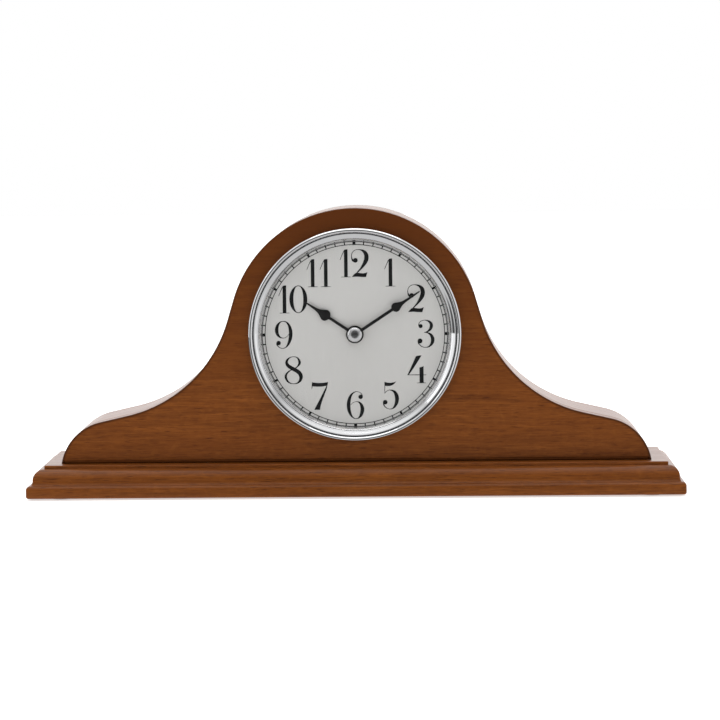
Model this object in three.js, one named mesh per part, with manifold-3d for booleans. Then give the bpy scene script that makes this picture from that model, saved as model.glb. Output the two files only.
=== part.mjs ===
// A mantel clock with a bow-topped wooden case on a moulded plinth, a pressed-in dial unit and a battery
// quartz movement. Every separate piece is a mesh of its own. Millimetres, +Z up, the dial faces -Y.
// The origin is the middle of the footprint, at the level on which the felt pads stand.
import * as THREE from "three";
import { mergeVertices } from "three/addons/utils/BufferGeometryUtils.js";
import Module from "manifold-3d";

const wasm = await Module();
wasm.setup();

// ---- driving dimensions -----------------------------------------------------------------------------

const gap = 0.1; // between fixed pieces that lie against each other
const overrun = 1; // how far a cut runs past the face it opens
const bite = 0.1; // how far one part of a body runs into the next
// Flats round one turn of a round piece, and steps in each curve of a sheet or an outline.
const flats = {
  bezel: 48,
  large: 36,
  battery: 28,
  hub: 24,
  pad: 20,
  plain: 16,
  small: 12,
  pin: 10,
  pilot: 8,
};
const curveSteps = { panel: 24, dial: 18, ring: 10, hole: 6, corner: 3 };
const outlineSteps = { crown: 10, hollow: 7, shoulder: 5 };
const mouldingSteps = { foot: 3, slab: 4, cove: 3, ovolo: 5 };
const plinth = { width: 430, depth: 100, bottom: 1, top: 21.8 };
const moulding = {
  footRadius: 1.75,
  slabHeight: 8.4,
  slabRadius: 2.5,
  coveInset: 4,
  coveHeight: 3.2,
  coveStart: 292.5,
  ovoloFoot: 0.4,
  ovoloInset: 11,
  ovoloHeight: 6.7,
};
const padSize = { radius: 10, insetX: 22, insetY: 18, play: 0.02 };

// The case outline is symmetrical: an arch round the dial, a hollow on each side and a round shoulder.
const outline = {
  dialHeight: 105.5,
  archRadius: 82.75,
  archTurn: 73.24,
  neckLength: 15.09,
  hollowRadius: 89.89,
  hollowTurn: 60.43,
  shelfLength: 18.84,
  shoulderRadius: 33.8,
};
const caseDepth = { front: -28.3, back: 45.5, frontPanel: 9, backPanel: 6, skin: 5 };
const blockSize = { x: 120, length: 40, depth: 12, height: 14 };
const baseScrew = {
  headRadius: 4,
  headHeight: 3,
  headPlay: 0.3,
  slotHalf: 0.5,
  slotDepth: 1,
  shankRadius: 1.9,
  shankInHead: 1,
  sink: 9,
  reach: 32,
};

const door = { width: 99, height: 99, centreHeight: 101, play: 0.5 };
const hinge = {
  offset: 32,
  leafHeight: 24,
  leafWidth: 10,
  leafThickness: 0.6,
  leafRelief: 0.3,
  tongueLap: 1,
  knuckleRadius: 1.6,
  knucklePlay: 0.2,
  pinRadius: 0.7,
  pinHole: 0.85,
  pinProud: 0.4,
  middleHalf: 4,
  standOff: 1.8,
  screwShare: 0.6,
};
const hingeScrew = {
  headRadius: 1.9,
  headHeight: 0.35,
  shankRadius: 0.9,
  shankInHead: 0.2,
  length: 5,
  slotHalf: 0.25,
  slotDepth: 0.4,
  slotReach: 3,
};

const knobSize = { x: 40, radius: 6.5, height: 4.3, spigot: 1.5, spigotLength: 5 };
// The turning of the knob from its foot to its crown, as [share of its radius, share of its height].
const knobTurning = [
  [0.55, 0],
  [0.5, 0.35],
  [0.95, 0.6],
  [1, 0.8],
  [0.8, 0.95],
  [0, 1],
];
const catchSize = {
  width: 12,
  height: 16,
  depth: 6,
  magnetReach: 4,
  footStart: 1,
  footEnd: 4,
  footDepth: 2,
};
const strike = { thickness: 0.6, far: 9, near: 0.5 };

// The dial unit is drawn about the dial axis, with y = 0 on the front face of the case.
const bezel = {
  radius: 70,
  beadHalf: 1.6,
  beadCentre: -3.2,
  beadRise: 2,
  groove: [66.7, -3.6],
  slopeTop: [66.2, -4.1],
  lipRadius: 63.2,
  lipFront: -2.1,
  lipBack: -1.6,
  skirtOuter: 67.2,
  skirtInner: 65.8,
  skirtBack: 8,
};
const panelHole = 67.6;
const insertRadius = 65.4; // glass, reflector, dial and cup all drop into the bezel skirt
const glass = { crown: -4.7, curve: 621, thickness: 1.5, rings: [0, 0.34, 0.67, 1] };
const reflector = { frontRadius: 63, backRadius: 62.7 };
const dial = { front: 3, back: 3.5, hole: 4.2 };
const cup = { front: 3.6, back: 4.8, rimRadius: 63.6, rimThickness: 1, rimBack: 7.6 };
const clip = { count: 3, inset: 1.1, thickness: 0.6, bendRise: 1.4, heelRise: 2.1, tip: 74, width: 8 };
const bush = { radius: 3.95, bore: 2.9, front: 1.7 };
const washerRadius = 8;
const hexNut = { radius: 5.65, bore: 4.1, front: 1.8 };

const hourHand = {
  y: 1.2,
  thickness: 0.4,
  hub: 5.8,
  hole: 2.7,
  length: 37.5,
  angle: -56.4,
  stemHalf: 0.75,
  swelling: { start: 19.9, rise: 3.1, half: 3.6 },
};
const minuteHand = {
  y: -0.65,
  thickness: 0.4,
  hub: 5,
  hole: 1.2,
  length: 51,
  angle: 56.7,
  stemHalf: 0.7,
  swelling: { start: 29.8, rise: 2.5, half: 2.9 },
};
// The swelling of a hand, as [share of its half width, share of its rise], and its blunted tip.
const pear = [
  [0.62, 0.35],
  [0.95, 0.75],
  [1, 1],
  [0.9, 1.5],
  [0.62, 2.1],
  [0.34, 2.8],
  [0.18, 3.6],
];
const tipHalf = 0.2;
const handNut = { radius: 4.8, height: 2, bore: 1.2, boreDepth: 1.1 };

const housing = {
  halfWidth: 28,
  low: -36.5,
  high: 19.5,
  corner: 3,
  wall: 1.2,
  front: 5.9,
  split: 14,
  back: 22,
  bushHole: 4.05,
  knobHole: 1.3,
};
const bay = { playX: 0.6, playZ: 0.15, ribAbove: 0.4, ribThickness: 0.9, ribInset: 0.5 };
const battery = { radius: 7.1, halfLength: 25.2, nub: 2.7, nubLength: 1, y: 14.4, z: -28 };
const contact = {
  play: 0.25,
  thickness: 0.4,
  half: 5,
  top: 6,
  tag: [-1.5, -0.5],
  tagTop: -14.5,
};
const trainPlate = {
  left: -15,
  right: 18,
  low: -15,
  high: 13,
  corner: 2,
  front: 9.9,
  back: 10.7,
  centreHole: 1.8,
  motionHole: 1.25,
};
const layer = { hour: 7.5, motion: 8.7, centre: 11.1, third: 13.6, seconds: 15.8, intermediate: 18.4 };
const wheelThickness = 0.8;
const pivotHole = 0.65;
const arborRadius = 0.45;
const pivotFront = trainPlate.front + 0.1;
const pivotBack = housing.back - 0.6;
const secondsPivotFront = 9;
const pinionOverhang = 0.4; // a pinion stands out this far past the wheel it drives
const tooth = { rootHalf: 0.31, depth: 1.05, height: 0.8 };
const through = [0, 20]; // a bore through the whole stack of wheels

// The magnet, collar and pinion of the rotor follow each other along its spindle.
const rotor = {
  magnetRadius: 2.4,
  magnet: [13.4, 15.4],
  collarRadius: 0.6,
  collar: [15.3, 18],
  pinion: [17.9, 19.9],
  spindle: 0.35,
};
// The minute arbor from its front end to its blind rear hole, as [radius, y].
const arborSteps = [
  [0, -1.6],
  [1.1, -1.6],
  [1.1, -0.2],
  [1.5, -0.2],
  [1.5, 12.2],
  [0.7, 12.2],
  [0.7, 8.6],
  [0, 8.6],
];
const arborCore = 1.2;
const centreBore = 1.65;
const hourTube = { radius: 2.6, bore: 1.8, front: 1, boreSpan: [-2, 20] };
const motionArbor = { radius: 1, play: 0.15, back: 25.3 };
const settingKnob = { teeth: 20, module: 0.55, front: 22.4, back: 25.2, bore: 1.1, boreSpan: [20, 30] };

const stator = {
  frame: [11, 23.6, -12, 12],
  window: [18.2, 21.4, -9, 9],
  depth: [14, 14.9],
  rotorHole: 3.1,
};
const coil = { x: 22.5, y: 14.45, radius: 3.3, span: [-8.5, 8.5] };
const coilCore = { x: [21.1, 23.9], y: [13.7, 15.2], z: [-20, 20] };
const board = { x: [-26, -10], y: [17, 18], z: [-14, 16] };
const crystal = { radius: 1.5, place: [-19, 15.4], z: [-2, 4.5] };

// Gear pairs: teeth of the pinion, teeth of the wheel and module.
const pair = {
  rotor: { pinion: 6, wheel: 30, module: 0.3 },
  intermediate: { pinion: 8, wheel: 48, module: 0.33 },
  seconds: { pinion: 8, wheel: 64, module: 0.25 },
  third: { pinion: 8, wheel: 60, module: 9 / 34 },
  cannon: { pinion: 12, wheel: 36, module: 0.4 },
  motion: { pinion: 10, wheel: 40, module: 0.384 },
};
const motionDirection = 225; // degrees, seen from the front, from +X towards +Z
const thirdDirection = 90;
const rotorDirection = 0;
const thirdAxis = placed(thirdDirection, spacing(pair.third));
const intermediateAxis = placed(rotorDirection, spacing(pair.intermediate));
const rotorAxis = placed(rotorDirection, spacing(pair.intermediate) + spacing(pair.rotor));
const motionAxis = placed(motionDirection, spacing(pair.cannon));

const finishes = {
  stainedWood: [0x8a4a26, 0.35, 0],
  plainWood: [0xb98a58, 0.7, 0],
  polishedMetal: [0xdfe2e6, 0.08, 1],
  brass: [0xc9a24a, 0.3, 1],
  steel: [0x9a9da1, 0.4, 1],
  silverDial: [0xb9bab8, 0.45, 0.3],
  clearGlass: [0xf2f6f7, 0.03, 0],
  blackLacquer: [0x111111, 0.35, 0],
  blackPlastic: [0x1b1b1c, 0.5, 0],
  whitePlastic: [0xe6e3da, 0.5, 0],
  greenBoard: [0x1f5a34, 0.5, 0],
  copper: [0xb0602c, 0.4, 1],
  blackFelt: [0x17231c, 0.95, 0],
  rubber: [0x141414, 0.85, 0],
  batteryFoil: [0x5b6470, 0.3, 0.5],
};

// ---- geometry helpers -------------------------------------------------------------------------------

function rad(degrees) {
  return (degrees * Math.PI) / 180;
}

function spacing({ pinion, wheel, module }) {
  return ((pinion + wheel) * module) / 2;
}

function placed(direction, distance) {
  return [distance * Math.cos(rad(direction)), distance * Math.sin(rad(direction))];
}

// A closed geometry as a manifold-3d solid: only positions are kept, and triangles with no area go.
function toSolid(geometry) {
  const bare = new THREE.BufferGeometry();
  bare.setAttribute("position", geometry.getAttribute("position"));
  bare.setIndex(geometry.index);
  const merged = mergeVertices(bare, 1e-4);
  const corners = merged.index.array;
  const kept = [];
  for (let i = 0; i < corners.length; i += 3) {
    const [a, b, c] = [corners[i], corners[i + 1], corners[i + 2]];
    if (a !== b && b !== c && c !== a) kept.push(a, b, c);
  }
  const vertProperties = merged.attributes.position.array;
  return new wasm.Manifold(new wasm.Mesh({ numProp: 3, vertProperties, triVerts: new Uint32Array(kept) }));
}

function toGeometry(solid) {
  const mesh = solid.getMesh();
  const geometry = new THREE.BufferGeometry();
  geometry.setAttribute("position", new THREE.BufferAttribute(new Float32Array(mesh.vertProperties), 3));
  geometry.setIndex(new THREE.BufferAttribute(new Uint32Array(mesh.triVerts), 1));
  geometry.computeVertexNormals();
  return geometry;
}

function join(first, ...others) {
  return toGeometry(others.reduce((solid, other) => solid.add(toSolid(other)), toSolid(first)));
}

function cut(first, ...tools) {
  return toGeometry(tools.reduce((solid, tool) => solid.subtract(toSolid(tool)), toSolid(first)));
}

function common(first, second) {
  return toGeometry(toSolid(first).intersect(toSolid(second)));
}

function block([x0, x1], [y0, y1], [z0, z1]) {
  const box = new THREE.BoxGeometry(x1 - x0, y1 - y0, z1 - z0);
  return box.translate((x0 + x1) / 2, (y0 + y1) / 2, (z0 + z1) / 2);
}

// A rod along Y through (x, z), from y0 to y1.
function rod(radius, [x, z], [y0, y1], sides = flats.plain) {
  return new THREE.CylinderGeometry(radius, radius, y1 - y0, sides).translate(x, (y0 + y1) / 2, z);
}

// A rod along Z through (x, y), from z0 to z1.
function post(radius, [x, y], [z0, z1], sides = flats.plain) {
  const cylinder = new THREE.CylinderGeometry(radius, radius, z1 - z0, sides);
  return cylinder.rotateX(Math.PI / 2).translate(x, y, (z0 + z1) / 2);
}

// An outline in X and Z, as a sheet from y0 to y1.
function sheet(shape, [y0, y1], curveSegments = 32) {
  const geometry = new THREE.ExtrudeGeometry(shape, { depth: y1 - y0, bevelEnabled: false, curveSegments });
  return geometry.rotateX(Math.PI / 2).translate(0, y1, 0);
}

// A profile of [radius, y] points turned about the Y axis. It closes on itself.
function turned(profile, sides = flats.large) {
  const points = profile.map(([radius, y]) => new THREE.Vector2(radius, y));
  if (THREE.ShapeUtils.area(points) < 0) points.reverse();
  return new THREE.LatheGeometry([...points, points[0]], sides);
}

// A shape from its corners, always listed anticlockwise, which holes rely on.
function shapeOf(corners) {
  const points = corners.map(([x, y]) => new THREE.Vector2(x, y));
  if (THREE.ShapeUtils.area(points) < 0) points.reverse();
  return new THREE.Shape(points);
}

function circle(radius, [x, z] = [0, 0]) {
  return new THREE.Path().absarc(x, z, radius, 0, 2 * Math.PI, true);
}

function ringOf(outer, inner) {
  const shape = new THREE.Shape().absarc(0, 0, outer, 0, 2 * Math.PI, false);
  shape.holes.push(circle(inner));
  return shape;
}

function roundedRectangle([x0, x1], [z0, z1], radius) {
  const shape = new THREE.Shape();
  shape.absarc(x1 - radius, z0 + radius, radius, -Math.PI / 2, 0);
  shape.absarc(x1 - radius, z1 - radius, radius, 0, Math.PI / 2);
  shape.absarc(x0 + radius, z1 - radius, radius, Math.PI / 2, Math.PI);
  shape.absarc(x0 + radius, z0 + radius, radius, Math.PI, 1.5 * Math.PI);
  return shape;
}

function addMesh(group, name, geometry, finish, position = [0, 0, 0]) {
  const [color, roughness, metalness] = finishes[finish];
  const material = new THREE.MeshStandardMaterial({ color, roughness, metalness, name: finish });
  const mesh = new THREE.Mesh(geometry, material);
  mesh.name = name;
  mesh.position.set(...position);
  group.add(mesh);
  return mesh;
}

// ---- case -------------------------------------------------------------------------------------------

// Moves the pen along an arc, turning right for side 1 and left for side -1, and notes the points passed.
function bend(points, pen, radius, turn, side, steps) {
  const normal = (heading) => [side * Math.sin(heading), -side * Math.cos(heading)];
  const [nx, nz] = normal(pen.heading);
  const centre = [pen.x + radius * nx, pen.z + radius * nz];
  const start = pen.heading;
  for (let i = 1; i <= steps; i += 1) {
    pen.heading = start - (side * turn * i) / steps;
    const [mx, mz] = normal(pen.heading);
    pen.x = centre[0] - radius * mx;
    pen.z = centre[1] - radius * mz;
    points.push([pen.x, pen.z]);
  }
}

function advance(points, pen, length) {
  pen.x += length * Math.cos(pen.heading);
  pen.z += length * Math.sin(pen.heading);
  points.push([pen.x, pen.z]);
}

// Half of the case outline, from the crown down the +X side to the plinth, moved inwards by inset.
function halfOutline(inset) {
  const o = outline;
  const pen = { x: 0, z: o.dialHeight + o.archRadius - inset, heading: 0 };
  const points = [[pen.x, pen.z]];
  bend(points, pen, o.archRadius - inset, rad(o.archTurn), 1, outlineSteps.crown);
  advance(points, pen, o.neckLength);
  bend(points, pen, o.hollowRadius + inset, rad(o.hollowTurn), -1, outlineSteps.hollow);
  advance(points, pen, o.shelfLength);
  const radius = o.shoulderRadius - inset;
  const centreHeight = pen.z - radius * Math.cos(pen.heading);
  const turn = Math.acos((plinth.top + gap - centreHeight) / radius) + pen.heading;
  bend(points, pen, radius, turn, 1, outlineSteps.shoulder);
  return points;
}

// The whole outline from the foot of the -X side over the crown to the foot of the +X side.
function wholeOutline(inset) {
  const right = halfOutline(inset);
  const left = right.slice(1).map(([x, z]) => [-x, z]);
  return [...left.reverse(), ...right];
}

// The moulded edge of the plinth as [distance in from the edge, height] points, from the foot up.
function mouldingProfile() {
  const m = moulding;
  const points = [];
  const arc = (cx, cz, rx, rz, from, to, steps) => {
    for (let i = 0; i <= steps; i += 1) {
      const angle = rad(from + ((to - from) * i) / steps);
      points.push([cx + rx * Math.cos(angle), cz + rz * Math.sin(angle)]);
    }
  };
  const slabTop = plinth.bottom + m.slabHeight;
  const coveTop = slabTop + m.coveHeight;
  const ovoloFoot = coveTop + m.ovoloFoot;
  arc(m.footRadius, plinth.bottom + m.footRadius, m.footRadius, m.footRadius, 270, 180, mouldingSteps.foot);
  arc(m.slabRadius, slabTop - m.slabRadius, m.slabRadius, m.slabRadius, 180, 90, mouldingSteps.slab);
  const coveWidth = m.coveInset - m.slabRadius;
  arc(m.slabRadius, coveTop, coveWidth, m.coveHeight, m.coveStart, 360, mouldingSteps.cove);
  arc(m.ovoloInset, ovoloFoot, m.ovoloInset - m.coveInset, m.ovoloHeight, 180, 90, mouldingSteps.ovolo);
  points.push([m.ovoloInset, plinth.top]);
  return points;
}

// The plinth is moulded on the front and both ends: a length moulded at the front, mitred by one
// that is moulded at both ends. Two countersunk holes from below take the base screws.
function plinthBody() {
  const { width, depth, bottom, top } = plinth;
  const profile = mouldingProfile();
  const frontEdge = profile.map(([inset, z]) => [-depth / 2 + inset, z]);
  const side = shapeOf([...frontEdge, [depth / 2, top], [depth / 2, bottom]]);
  const lengthwise = new THREE.ExtrudeGeometry(side, { depth: width, bevelEnabled: false });
  lengthwise.rotateX(Math.PI / 2).rotateZ(Math.PI / 2).translate(-width / 2, 0, 0);
  const rightEdge = profile.map(([inset, z]) => [width / 2 - inset, z]);
  const leftEdge = profile.map(([inset, z]) => [-width / 2 + inset, z]);
  const crosswise = sheet(shapeOf([...rightEdge, ...leftEdge.reverse()]), [-depth / 2, depth / 2]);
  const body = common(lengthwise, crosswise);
  return cut(body, ...[-1, 1].flatMap((end) => screwHole(end)));
}

function blockMiddle() {
  return caseDepth.front + caseDepth.frontPanel + gap + blockSize.depth / 2;
}

function screwHole(end) {
  const place = [end * blockSize.x, blockMiddle()];
  const wide = post(baseScrew.headRadius + baseScrew.headPlay, place, [0, plinth.bottom + baseScrew.sink]);
  return [wide, post(baseScrew.shankRadius + gap, place, [0, plinth.top + overrun])];
}

function baseScrewBody(end) {
  const b = baseScrew;
  const [x, y] = [end * blockSize.x, blockMiddle()];
  const headTop = plinth.bottom + b.sink - gap;
  const headFoot = headTop - b.headHeight;
  const head = post(b.headRadius, [x, y], [headFoot, headTop]);
  const shank = post(b.shankRadius, [x, y], [headTop - b.shankInHead, b.reach], flats.small);
  const slot = block(
    [x - b.headRadius, x + b.headRadius],
    [y - b.slotHalf, y + b.slotHalf],
    [headFoot - overrun, headFoot + b.slotDepth],
  );
  return cut(join(head, shank), slot);
}

function glueBlock(end) {
  const y0 = caseDepth.front + caseDepth.frontPanel + gap;
  const low = plinth.top + gap;
  const body = block(
    [end * blockSize.x - blockSize.length / 2, end * blockSize.x + blockSize.length / 2],
    [y0, y0 + blockSize.depth],
    [low, low + blockSize.height],
  );
  const place = [end * blockSize.x, blockMiddle()];
  const hole = post(baseScrew.shankRadius + gap, place, [low - overrun, baseScrew.reach + overrun]);
  return cut(body, hole);
}

function frontPanelBody() {
  const shape = shapeOf(wholeOutline(0));
  shape.holes.push(circle(panelHole, [0, outline.dialHeight]));
  return sheet(shape, [caseDepth.front, caseDepth.front + caseDepth.frontPanel], curveSteps.panel);
}

function caseSkinBody() {
  const shape = shapeOf([...wholeOutline(0), ...wholeOutline(caseDepth.skin).reverse()]);
  const from = caseDepth.front + caseDepth.frontPanel + gap;
  return sheet(shape, [from, caseDepth.back - caseDepth.backPanel - gap]);
}

function doorEdges(play) {
  const halfWidth = door.width / 2 + play;
  const halfHeight = door.height / 2 + play;
  return [-halfWidth, halfWidth, door.centreHeight - halfHeight, door.centreHeight + halfHeight];
}

function rectangle([x0, x1, z0, z1]) {
  return [
    [x0, z0],
    [x1, z0],
    [x1, z1],
    [x0, z1],
  ];
}

function hingeHeights() {
  return [door.centreHeight - hinge.offset, door.centreHeight + hinge.offset];
}

// Where the hinge screws stand: on the jamb for side -1, on the door for side 1.
function hingeScrewPlaces(side) {
  const x = doorEdges(door.play)[0] + side * hinge.leafWidth * hinge.screwShare;
  return hingeHeights().map((z) => [x, z]);
}

function screwPilots(side) {
  return hingeScrewPlaces(side).map((place) => circle(hingeScrew.shankRadius + gap, place));
}

function backPanelBody() {
  const shape = shapeOf(wholeOutline(0));
  shape.holes.push(new THREE.Path(shapeOf(rectangle(doorEdges(door.play))).getPoints()));
  shape.holes.push(...screwPilots(-1));
  return sheet(shape, [caseDepth.back - caseDepth.backPanel, caseDepth.back], curveSteps.hole);
}

function doorBody() {
  const shape = shapeOf(rectangle(doorEdges(0)));
  shape.holes.push(...screwPilots(1));
  shape.holes.push(circle(knobSize.spigot + gap, [knobSize.x, door.centreHeight]));
  return sheet(shape, [caseDepth.back - caseDepth.backPanel, caseDepth.back], curveSteps.hole);
}

function hingeLine() {
  return [doorEdges(door.play)[0], caseDepth.back + hinge.standOff];
}

// One leaf lying on the back face, with its own knuckles on the pin line: two outer knuckles on the
// jamb side, one middle knuckle on the door side.
function hingeLeaf(side, height) {
  const h = hinge;
  const [x, y] = hingeLine();
  const y0 = caseDepth.back + gap;
  const thick = [y0, y0 + h.leafThickness];
  const tall = [height - h.leafHeight / 2, height + h.leafHeight / 2];
  const outerFoot = h.middleHalf + h.knucklePlay;
  const jambSpans = [
    [-h.leafHeight / 2, -outerFoot],
    [outerFoot, h.leafHeight / 2],
  ];
  const spans = side < 0 ? jambSpans : [[-h.middleHalf, h.middleHalf]];
  const near = x + side * (h.knuckleRadius + h.leafRelief);
  const far = x + side * h.leafWidth;
  const lap = near + side * h.tongueLap;
  const plate = block([Math.min(near, far), Math.max(near, far)], thick, tall);
  const knuckles = spans.flatMap(([low, high]) => {
    const heights = [height + low, height + high];
    const tongue = block([Math.min(x, lap), Math.max(x, lap)], thick, heights);
    return [tongue, post(h.knuckleRadius, [x, y], heights, flats.small)];
  });
  const screwPlace = [x + side * h.leafWidth * h.screwShare, height];
  const screwHole = rod(hingeScrew.headRadius + gap, screwPlace, [y0 - overrun, y0 + 2 * overrun]);
  const bore = post(h.pinHole, [x, y], [height - h.leafHeight, height + h.leafHeight], flats.pin);
  return cut(join(plate, ...knuckles), bore, screwHole);
}

function hingePin(height) {
  const half = hinge.leafHeight / 2;
  const ends = [height - half - hinge.pinProud, height + half + hinge.pinProud];
  return post(hinge.pinRadius, hingeLine(), ends, flats.pin);
}

function hingeScrewBody([x, z]) {
  const h = hingeScrew;
  const y0 = caseDepth.back + gap;
  const top = y0 + hinge.leafThickness + h.headHeight;
  const head = rod(h.headRadius, [x, z], [y0, top], flats.small);
  const shank = rod(h.shankRadius, [x, z], [y0 - h.length, y0 + h.shankInHead], flats.pilot);
  const slot = block(
    [x - h.slotHalf, x + h.slotHalf],
    [top - h.slotDepth, top + overrun],
    [z - h.slotReach, z + h.slotReach],
  );
  return cut(join(head, shank), slot);
}

function doorKnobBody() {
  const k = knobSize;
  const base = caseDepth.back + gap;
  const profile = [
    [0, base - k.spigotLength],
    [k.spigot, base - k.spigotLength],
    [k.spigot, base],
    ...knobTurning.map(([radius, height]) => [k.radius * radius, base + k.height * height]),
  ];
  return turned(profile, flats.plain).translate(k.x, 0, door.centreHeight);
}

function catchHeights() {
  return [door.centreHeight - catchSize.height / 2, door.centreHeight + catchSize.height / 2];
}

// The magnet stands inside the case at the free edge of the opening and is also the stop for the door.
function catchBody() {
  const c = catchSize;
  const [, jamb] = doorEdges(door.play);
  const back = caseDepth.back - caseDepth.backPanel - strike.thickness - 2 * gap;
  const magnet = block(
    [jamb - c.magnetReach, jamb + c.width - c.magnetReach],
    [back - c.depth, back],
    catchHeights(),
  );
  const foot = block(
    [jamb + c.footStart, jamb + c.width + c.footEnd],
    [back - c.footDepth, back + strike.thickness + gap],
    catchHeights(),
  );
  return join(magnet, foot);
}

function strikePlateBody() {
  const [, edge] = doorEdges(0);
  const face = caseDepth.back - caseDepth.backPanel - gap / 2;
  return block([edge - strike.far, edge - strike.near], [face - strike.thickness, face], catchHeights());
}

function buildCase(group) {
  addMesh(group, "base_plinth", plinthBody(), "stainedWood");
  addMesh(group, "front_panel", frontPanelBody(), "stainedWood");
  addMesh(group, "case_skin", caseSkinBody(), "stainedWood");
  addMesh(group, "back_panel", backPanelBody(), "stainedWood");
  for (const [end, side] of [[-1, "left"], [1, "right"]]) {
    addMesh(group, `glue_block_${side}`, glueBlock(end), "plainWood");
    addMesh(group, `base_screw_${side}`, baseScrewBody(end), "steel");
    for (const [row, place] of [[-1, "front"], [1, "rear"]]) {
      const at = [end * (plinth.width / 2 - padSize.insetX), row * (plinth.depth / 2 - padSize.insetY)];
      const pad = post(padSize.radius, at, [0, plinth.bottom - padSize.play], flats.pad);
      addMesh(group, `felt_pad_${place}_${side}`, pad, "blackFelt");
    }
  }
}

function buildDoor(group) {
  addMesh(group, "back_door", doorBody(), "stainedWood");
  addMesh(group, "door_knob", doorKnobBody(), "brass");
  addMesh(group, "door_strike_plate", strikePlateBody(), "steel");
  addMesh(group, "door_magnet_catch", catchBody(), "blackPlastic");
  hingeHeights().forEach((height, i) => {
    const place = ["lower", "upper"][i];
    addMesh(group, `hinge_jamb_leaf_${place}`, hingeLeaf(-1, height), "brass");
    addMesh(group, `hinge_door_leaf_${place}`, hingeLeaf(1, height), "brass");
    addMesh(group, `hinge_pin_${place}`, hingePin(height), "steel");
    addMesh(group, `hinge_jamb_screw_${place}`, hingeScrewBody(hingeScrewPlaces(-1)[i]), "brass");
    addMesh(group, `hinge_door_screw_${place}`, hingeScrewBody(hingeScrewPlaces(1)[i]), "brass");
  });
}

// ---- dial unit --------------------------------------------------------------------------------------

// A bead round the outside, a groove, then a slope down to the lip that holds the glass.
function bezelBody() {
  const b = bezel;
  const bead = [0, 45, 90, 135].map((angle) => [
    b.radius - b.beadHalf + b.beadHalf * Math.cos(rad(angle)),
    b.beadCentre - b.beadRise * Math.sin(rad(angle)),
  ]);
  const profile = [
    [b.radius, -gap / 2],
    ...bead,
    b.groove,
    b.slopeTop,
    [b.lipRadius, b.lipFront],
    [b.lipRadius, b.lipBack],
    [b.skirtInner, b.lipBack],
    [b.skirtInner, b.skirtBack],
    [b.skirtOuter, b.skirtBack],
    [b.skirtOuter, -gap / 2],
  ];
  return turned(profile, flats.bezel);
}

function glassSag(radius) {
  return (radius * radius) / (2 * glass.curve);
}

function glassBody() {
  const radii = glass.rings.map((share) => share * (insertRadius - gap));
  const front = radii.map((radius) => [radius, glass.crown + glassSag(radius)]);
  const back = radii.map((radius) => [radius, glass.crown + glass.thickness + glassSag(radius)]);
  return turned([...front, ...back.reverse()]);
}

function reflectorBody() {
  const front = glass.crown + glass.thickness + glassSag(insertRadius) + gap;
  return turned([
    [insertRadius, front],
    [reflector.frontRadius, front],
    [reflector.backRadius, dial.front - gap],
    [insertRadius, dial.front - gap],
  ]);
}

function cupBody() {
  const c = cup;
  return turned([
    [dial.hole, c.front],
    [insertRadius, c.front],
    [insertRadius, c.back],
    [c.rimRadius, c.back],
    [c.rimRadius, c.rimBack],
    [c.rimRadius - c.rimThickness, c.rimBack],
    [c.rimRadius - c.rimThickness, c.back],
    [dial.hole, c.back],
  ]);
}

// A bent steel strip that holds the bezel skirt and presses on the inner face of the front panel.
function clipBody() {
  const inner = bezel.skirtInner - clip.inset;
  const panelBack = caseDepth.frontPanel + gap;
  const strip = shapeOf([
    [inner, cup.back + gap],
    [inner + clip.thickness, cup.back + gap],
    [inner + clip.thickness, panelBack + clip.bendRise],
    [clip.tip, panelBack],
    [clip.tip, panelBack + clip.thickness],
    [inner, panelBack + clip.heelRise],
  ]);
  const geometry = new THREE.ExtrudeGeometry(strip, { depth: clip.width, bevelEnabled: false });
  return geometry.translate(0, 0, -clip.width / 2);
}

function nutBody(radius, sides, [y0, y1], hole) {
  return cut(rod(radius, [0, 0], [y0, y1], sides), rod(hole, [0, 0], [y0 - overrun, y1 + overrun]));
}

function buildDialUnit(group) {
  const plate = sheet(ringOf(insertRadius, dial.hole), [dial.front, dial.back], curveSteps.dial);
  const bushSpan = [bush.front, housing.front + housing.wall];
  const washerSpan = [cup.back + gap, housing.front - gap];
  const bushTube = sheet(ringOf(bush.radius, bush.bore), bushSpan, curveSteps.ring);
  const washer = sheet(ringOf(washerRadius, dial.hole), washerSpan, curveSteps.ring);
  const nut = nutBody(hexNut.radius, 6, [hexNut.front, dial.front - gap], hexNut.bore);
  addMesh(group, "bezel_ring", bezelBody(), "polishedMetal");
  addMesh(group, "dial_glass", glassBody(), "clearGlass");
  addMesh(group, "reflector_ring", reflectorBody(), "polishedMetal");
  addMesh(group, "dial_plate", plate, "silverDial");
  addMesh(group, "dial_cup", cupBody(), "steel");
  for (let i = 0; i < clip.count; i += 1) {
    const placedClip = addMesh(group, `bezel_clip_${i + 1}`, clipBody(), "steel");
    placedClip.rotation.y = rad((360 / clip.count) * i + 90);
  }
  addMesh(group, "threaded_bush", bushTube, "brass");
  addMesh(group, "rubber_washer", washer, "rubber");
  addMesh(group, "hex_nut", nut, "brass");
}

// ---- hands ------------------------------------------------------------------------------------------

// A pear-shaped hand pointing up: a straight stem, a swelling and a long point, with a round hub.
function handOutline({ length, stemHalf, swelling, hub }) {
  const half = [
    [stemHalf, hub],
    [stemHalf, swelling.start],
    ...pear.map(([width, rise]) => [swelling.half * width, swelling.start + swelling.rise * rise]),
    [tipHalf, length],
  ];
  const mirrored = half.map(([x, z]) => [-x, z]).reverse();
  return shapeOf([[stemHalf, 0], ...half, ...mirrored, [-stemHalf, 0]]);
}

function handBody(hand) {
  const span = [hand.y, hand.y + hand.thickness];
  const blade = sheet(handOutline(hand), span);
  const hub = rod(hand.hub, [0, 0], span, flats.hub);
  return cut(join(blade, hub), rod(hand.hole, [0, 0], [span[0] - overrun, span[1] + overrun]));
}

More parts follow.
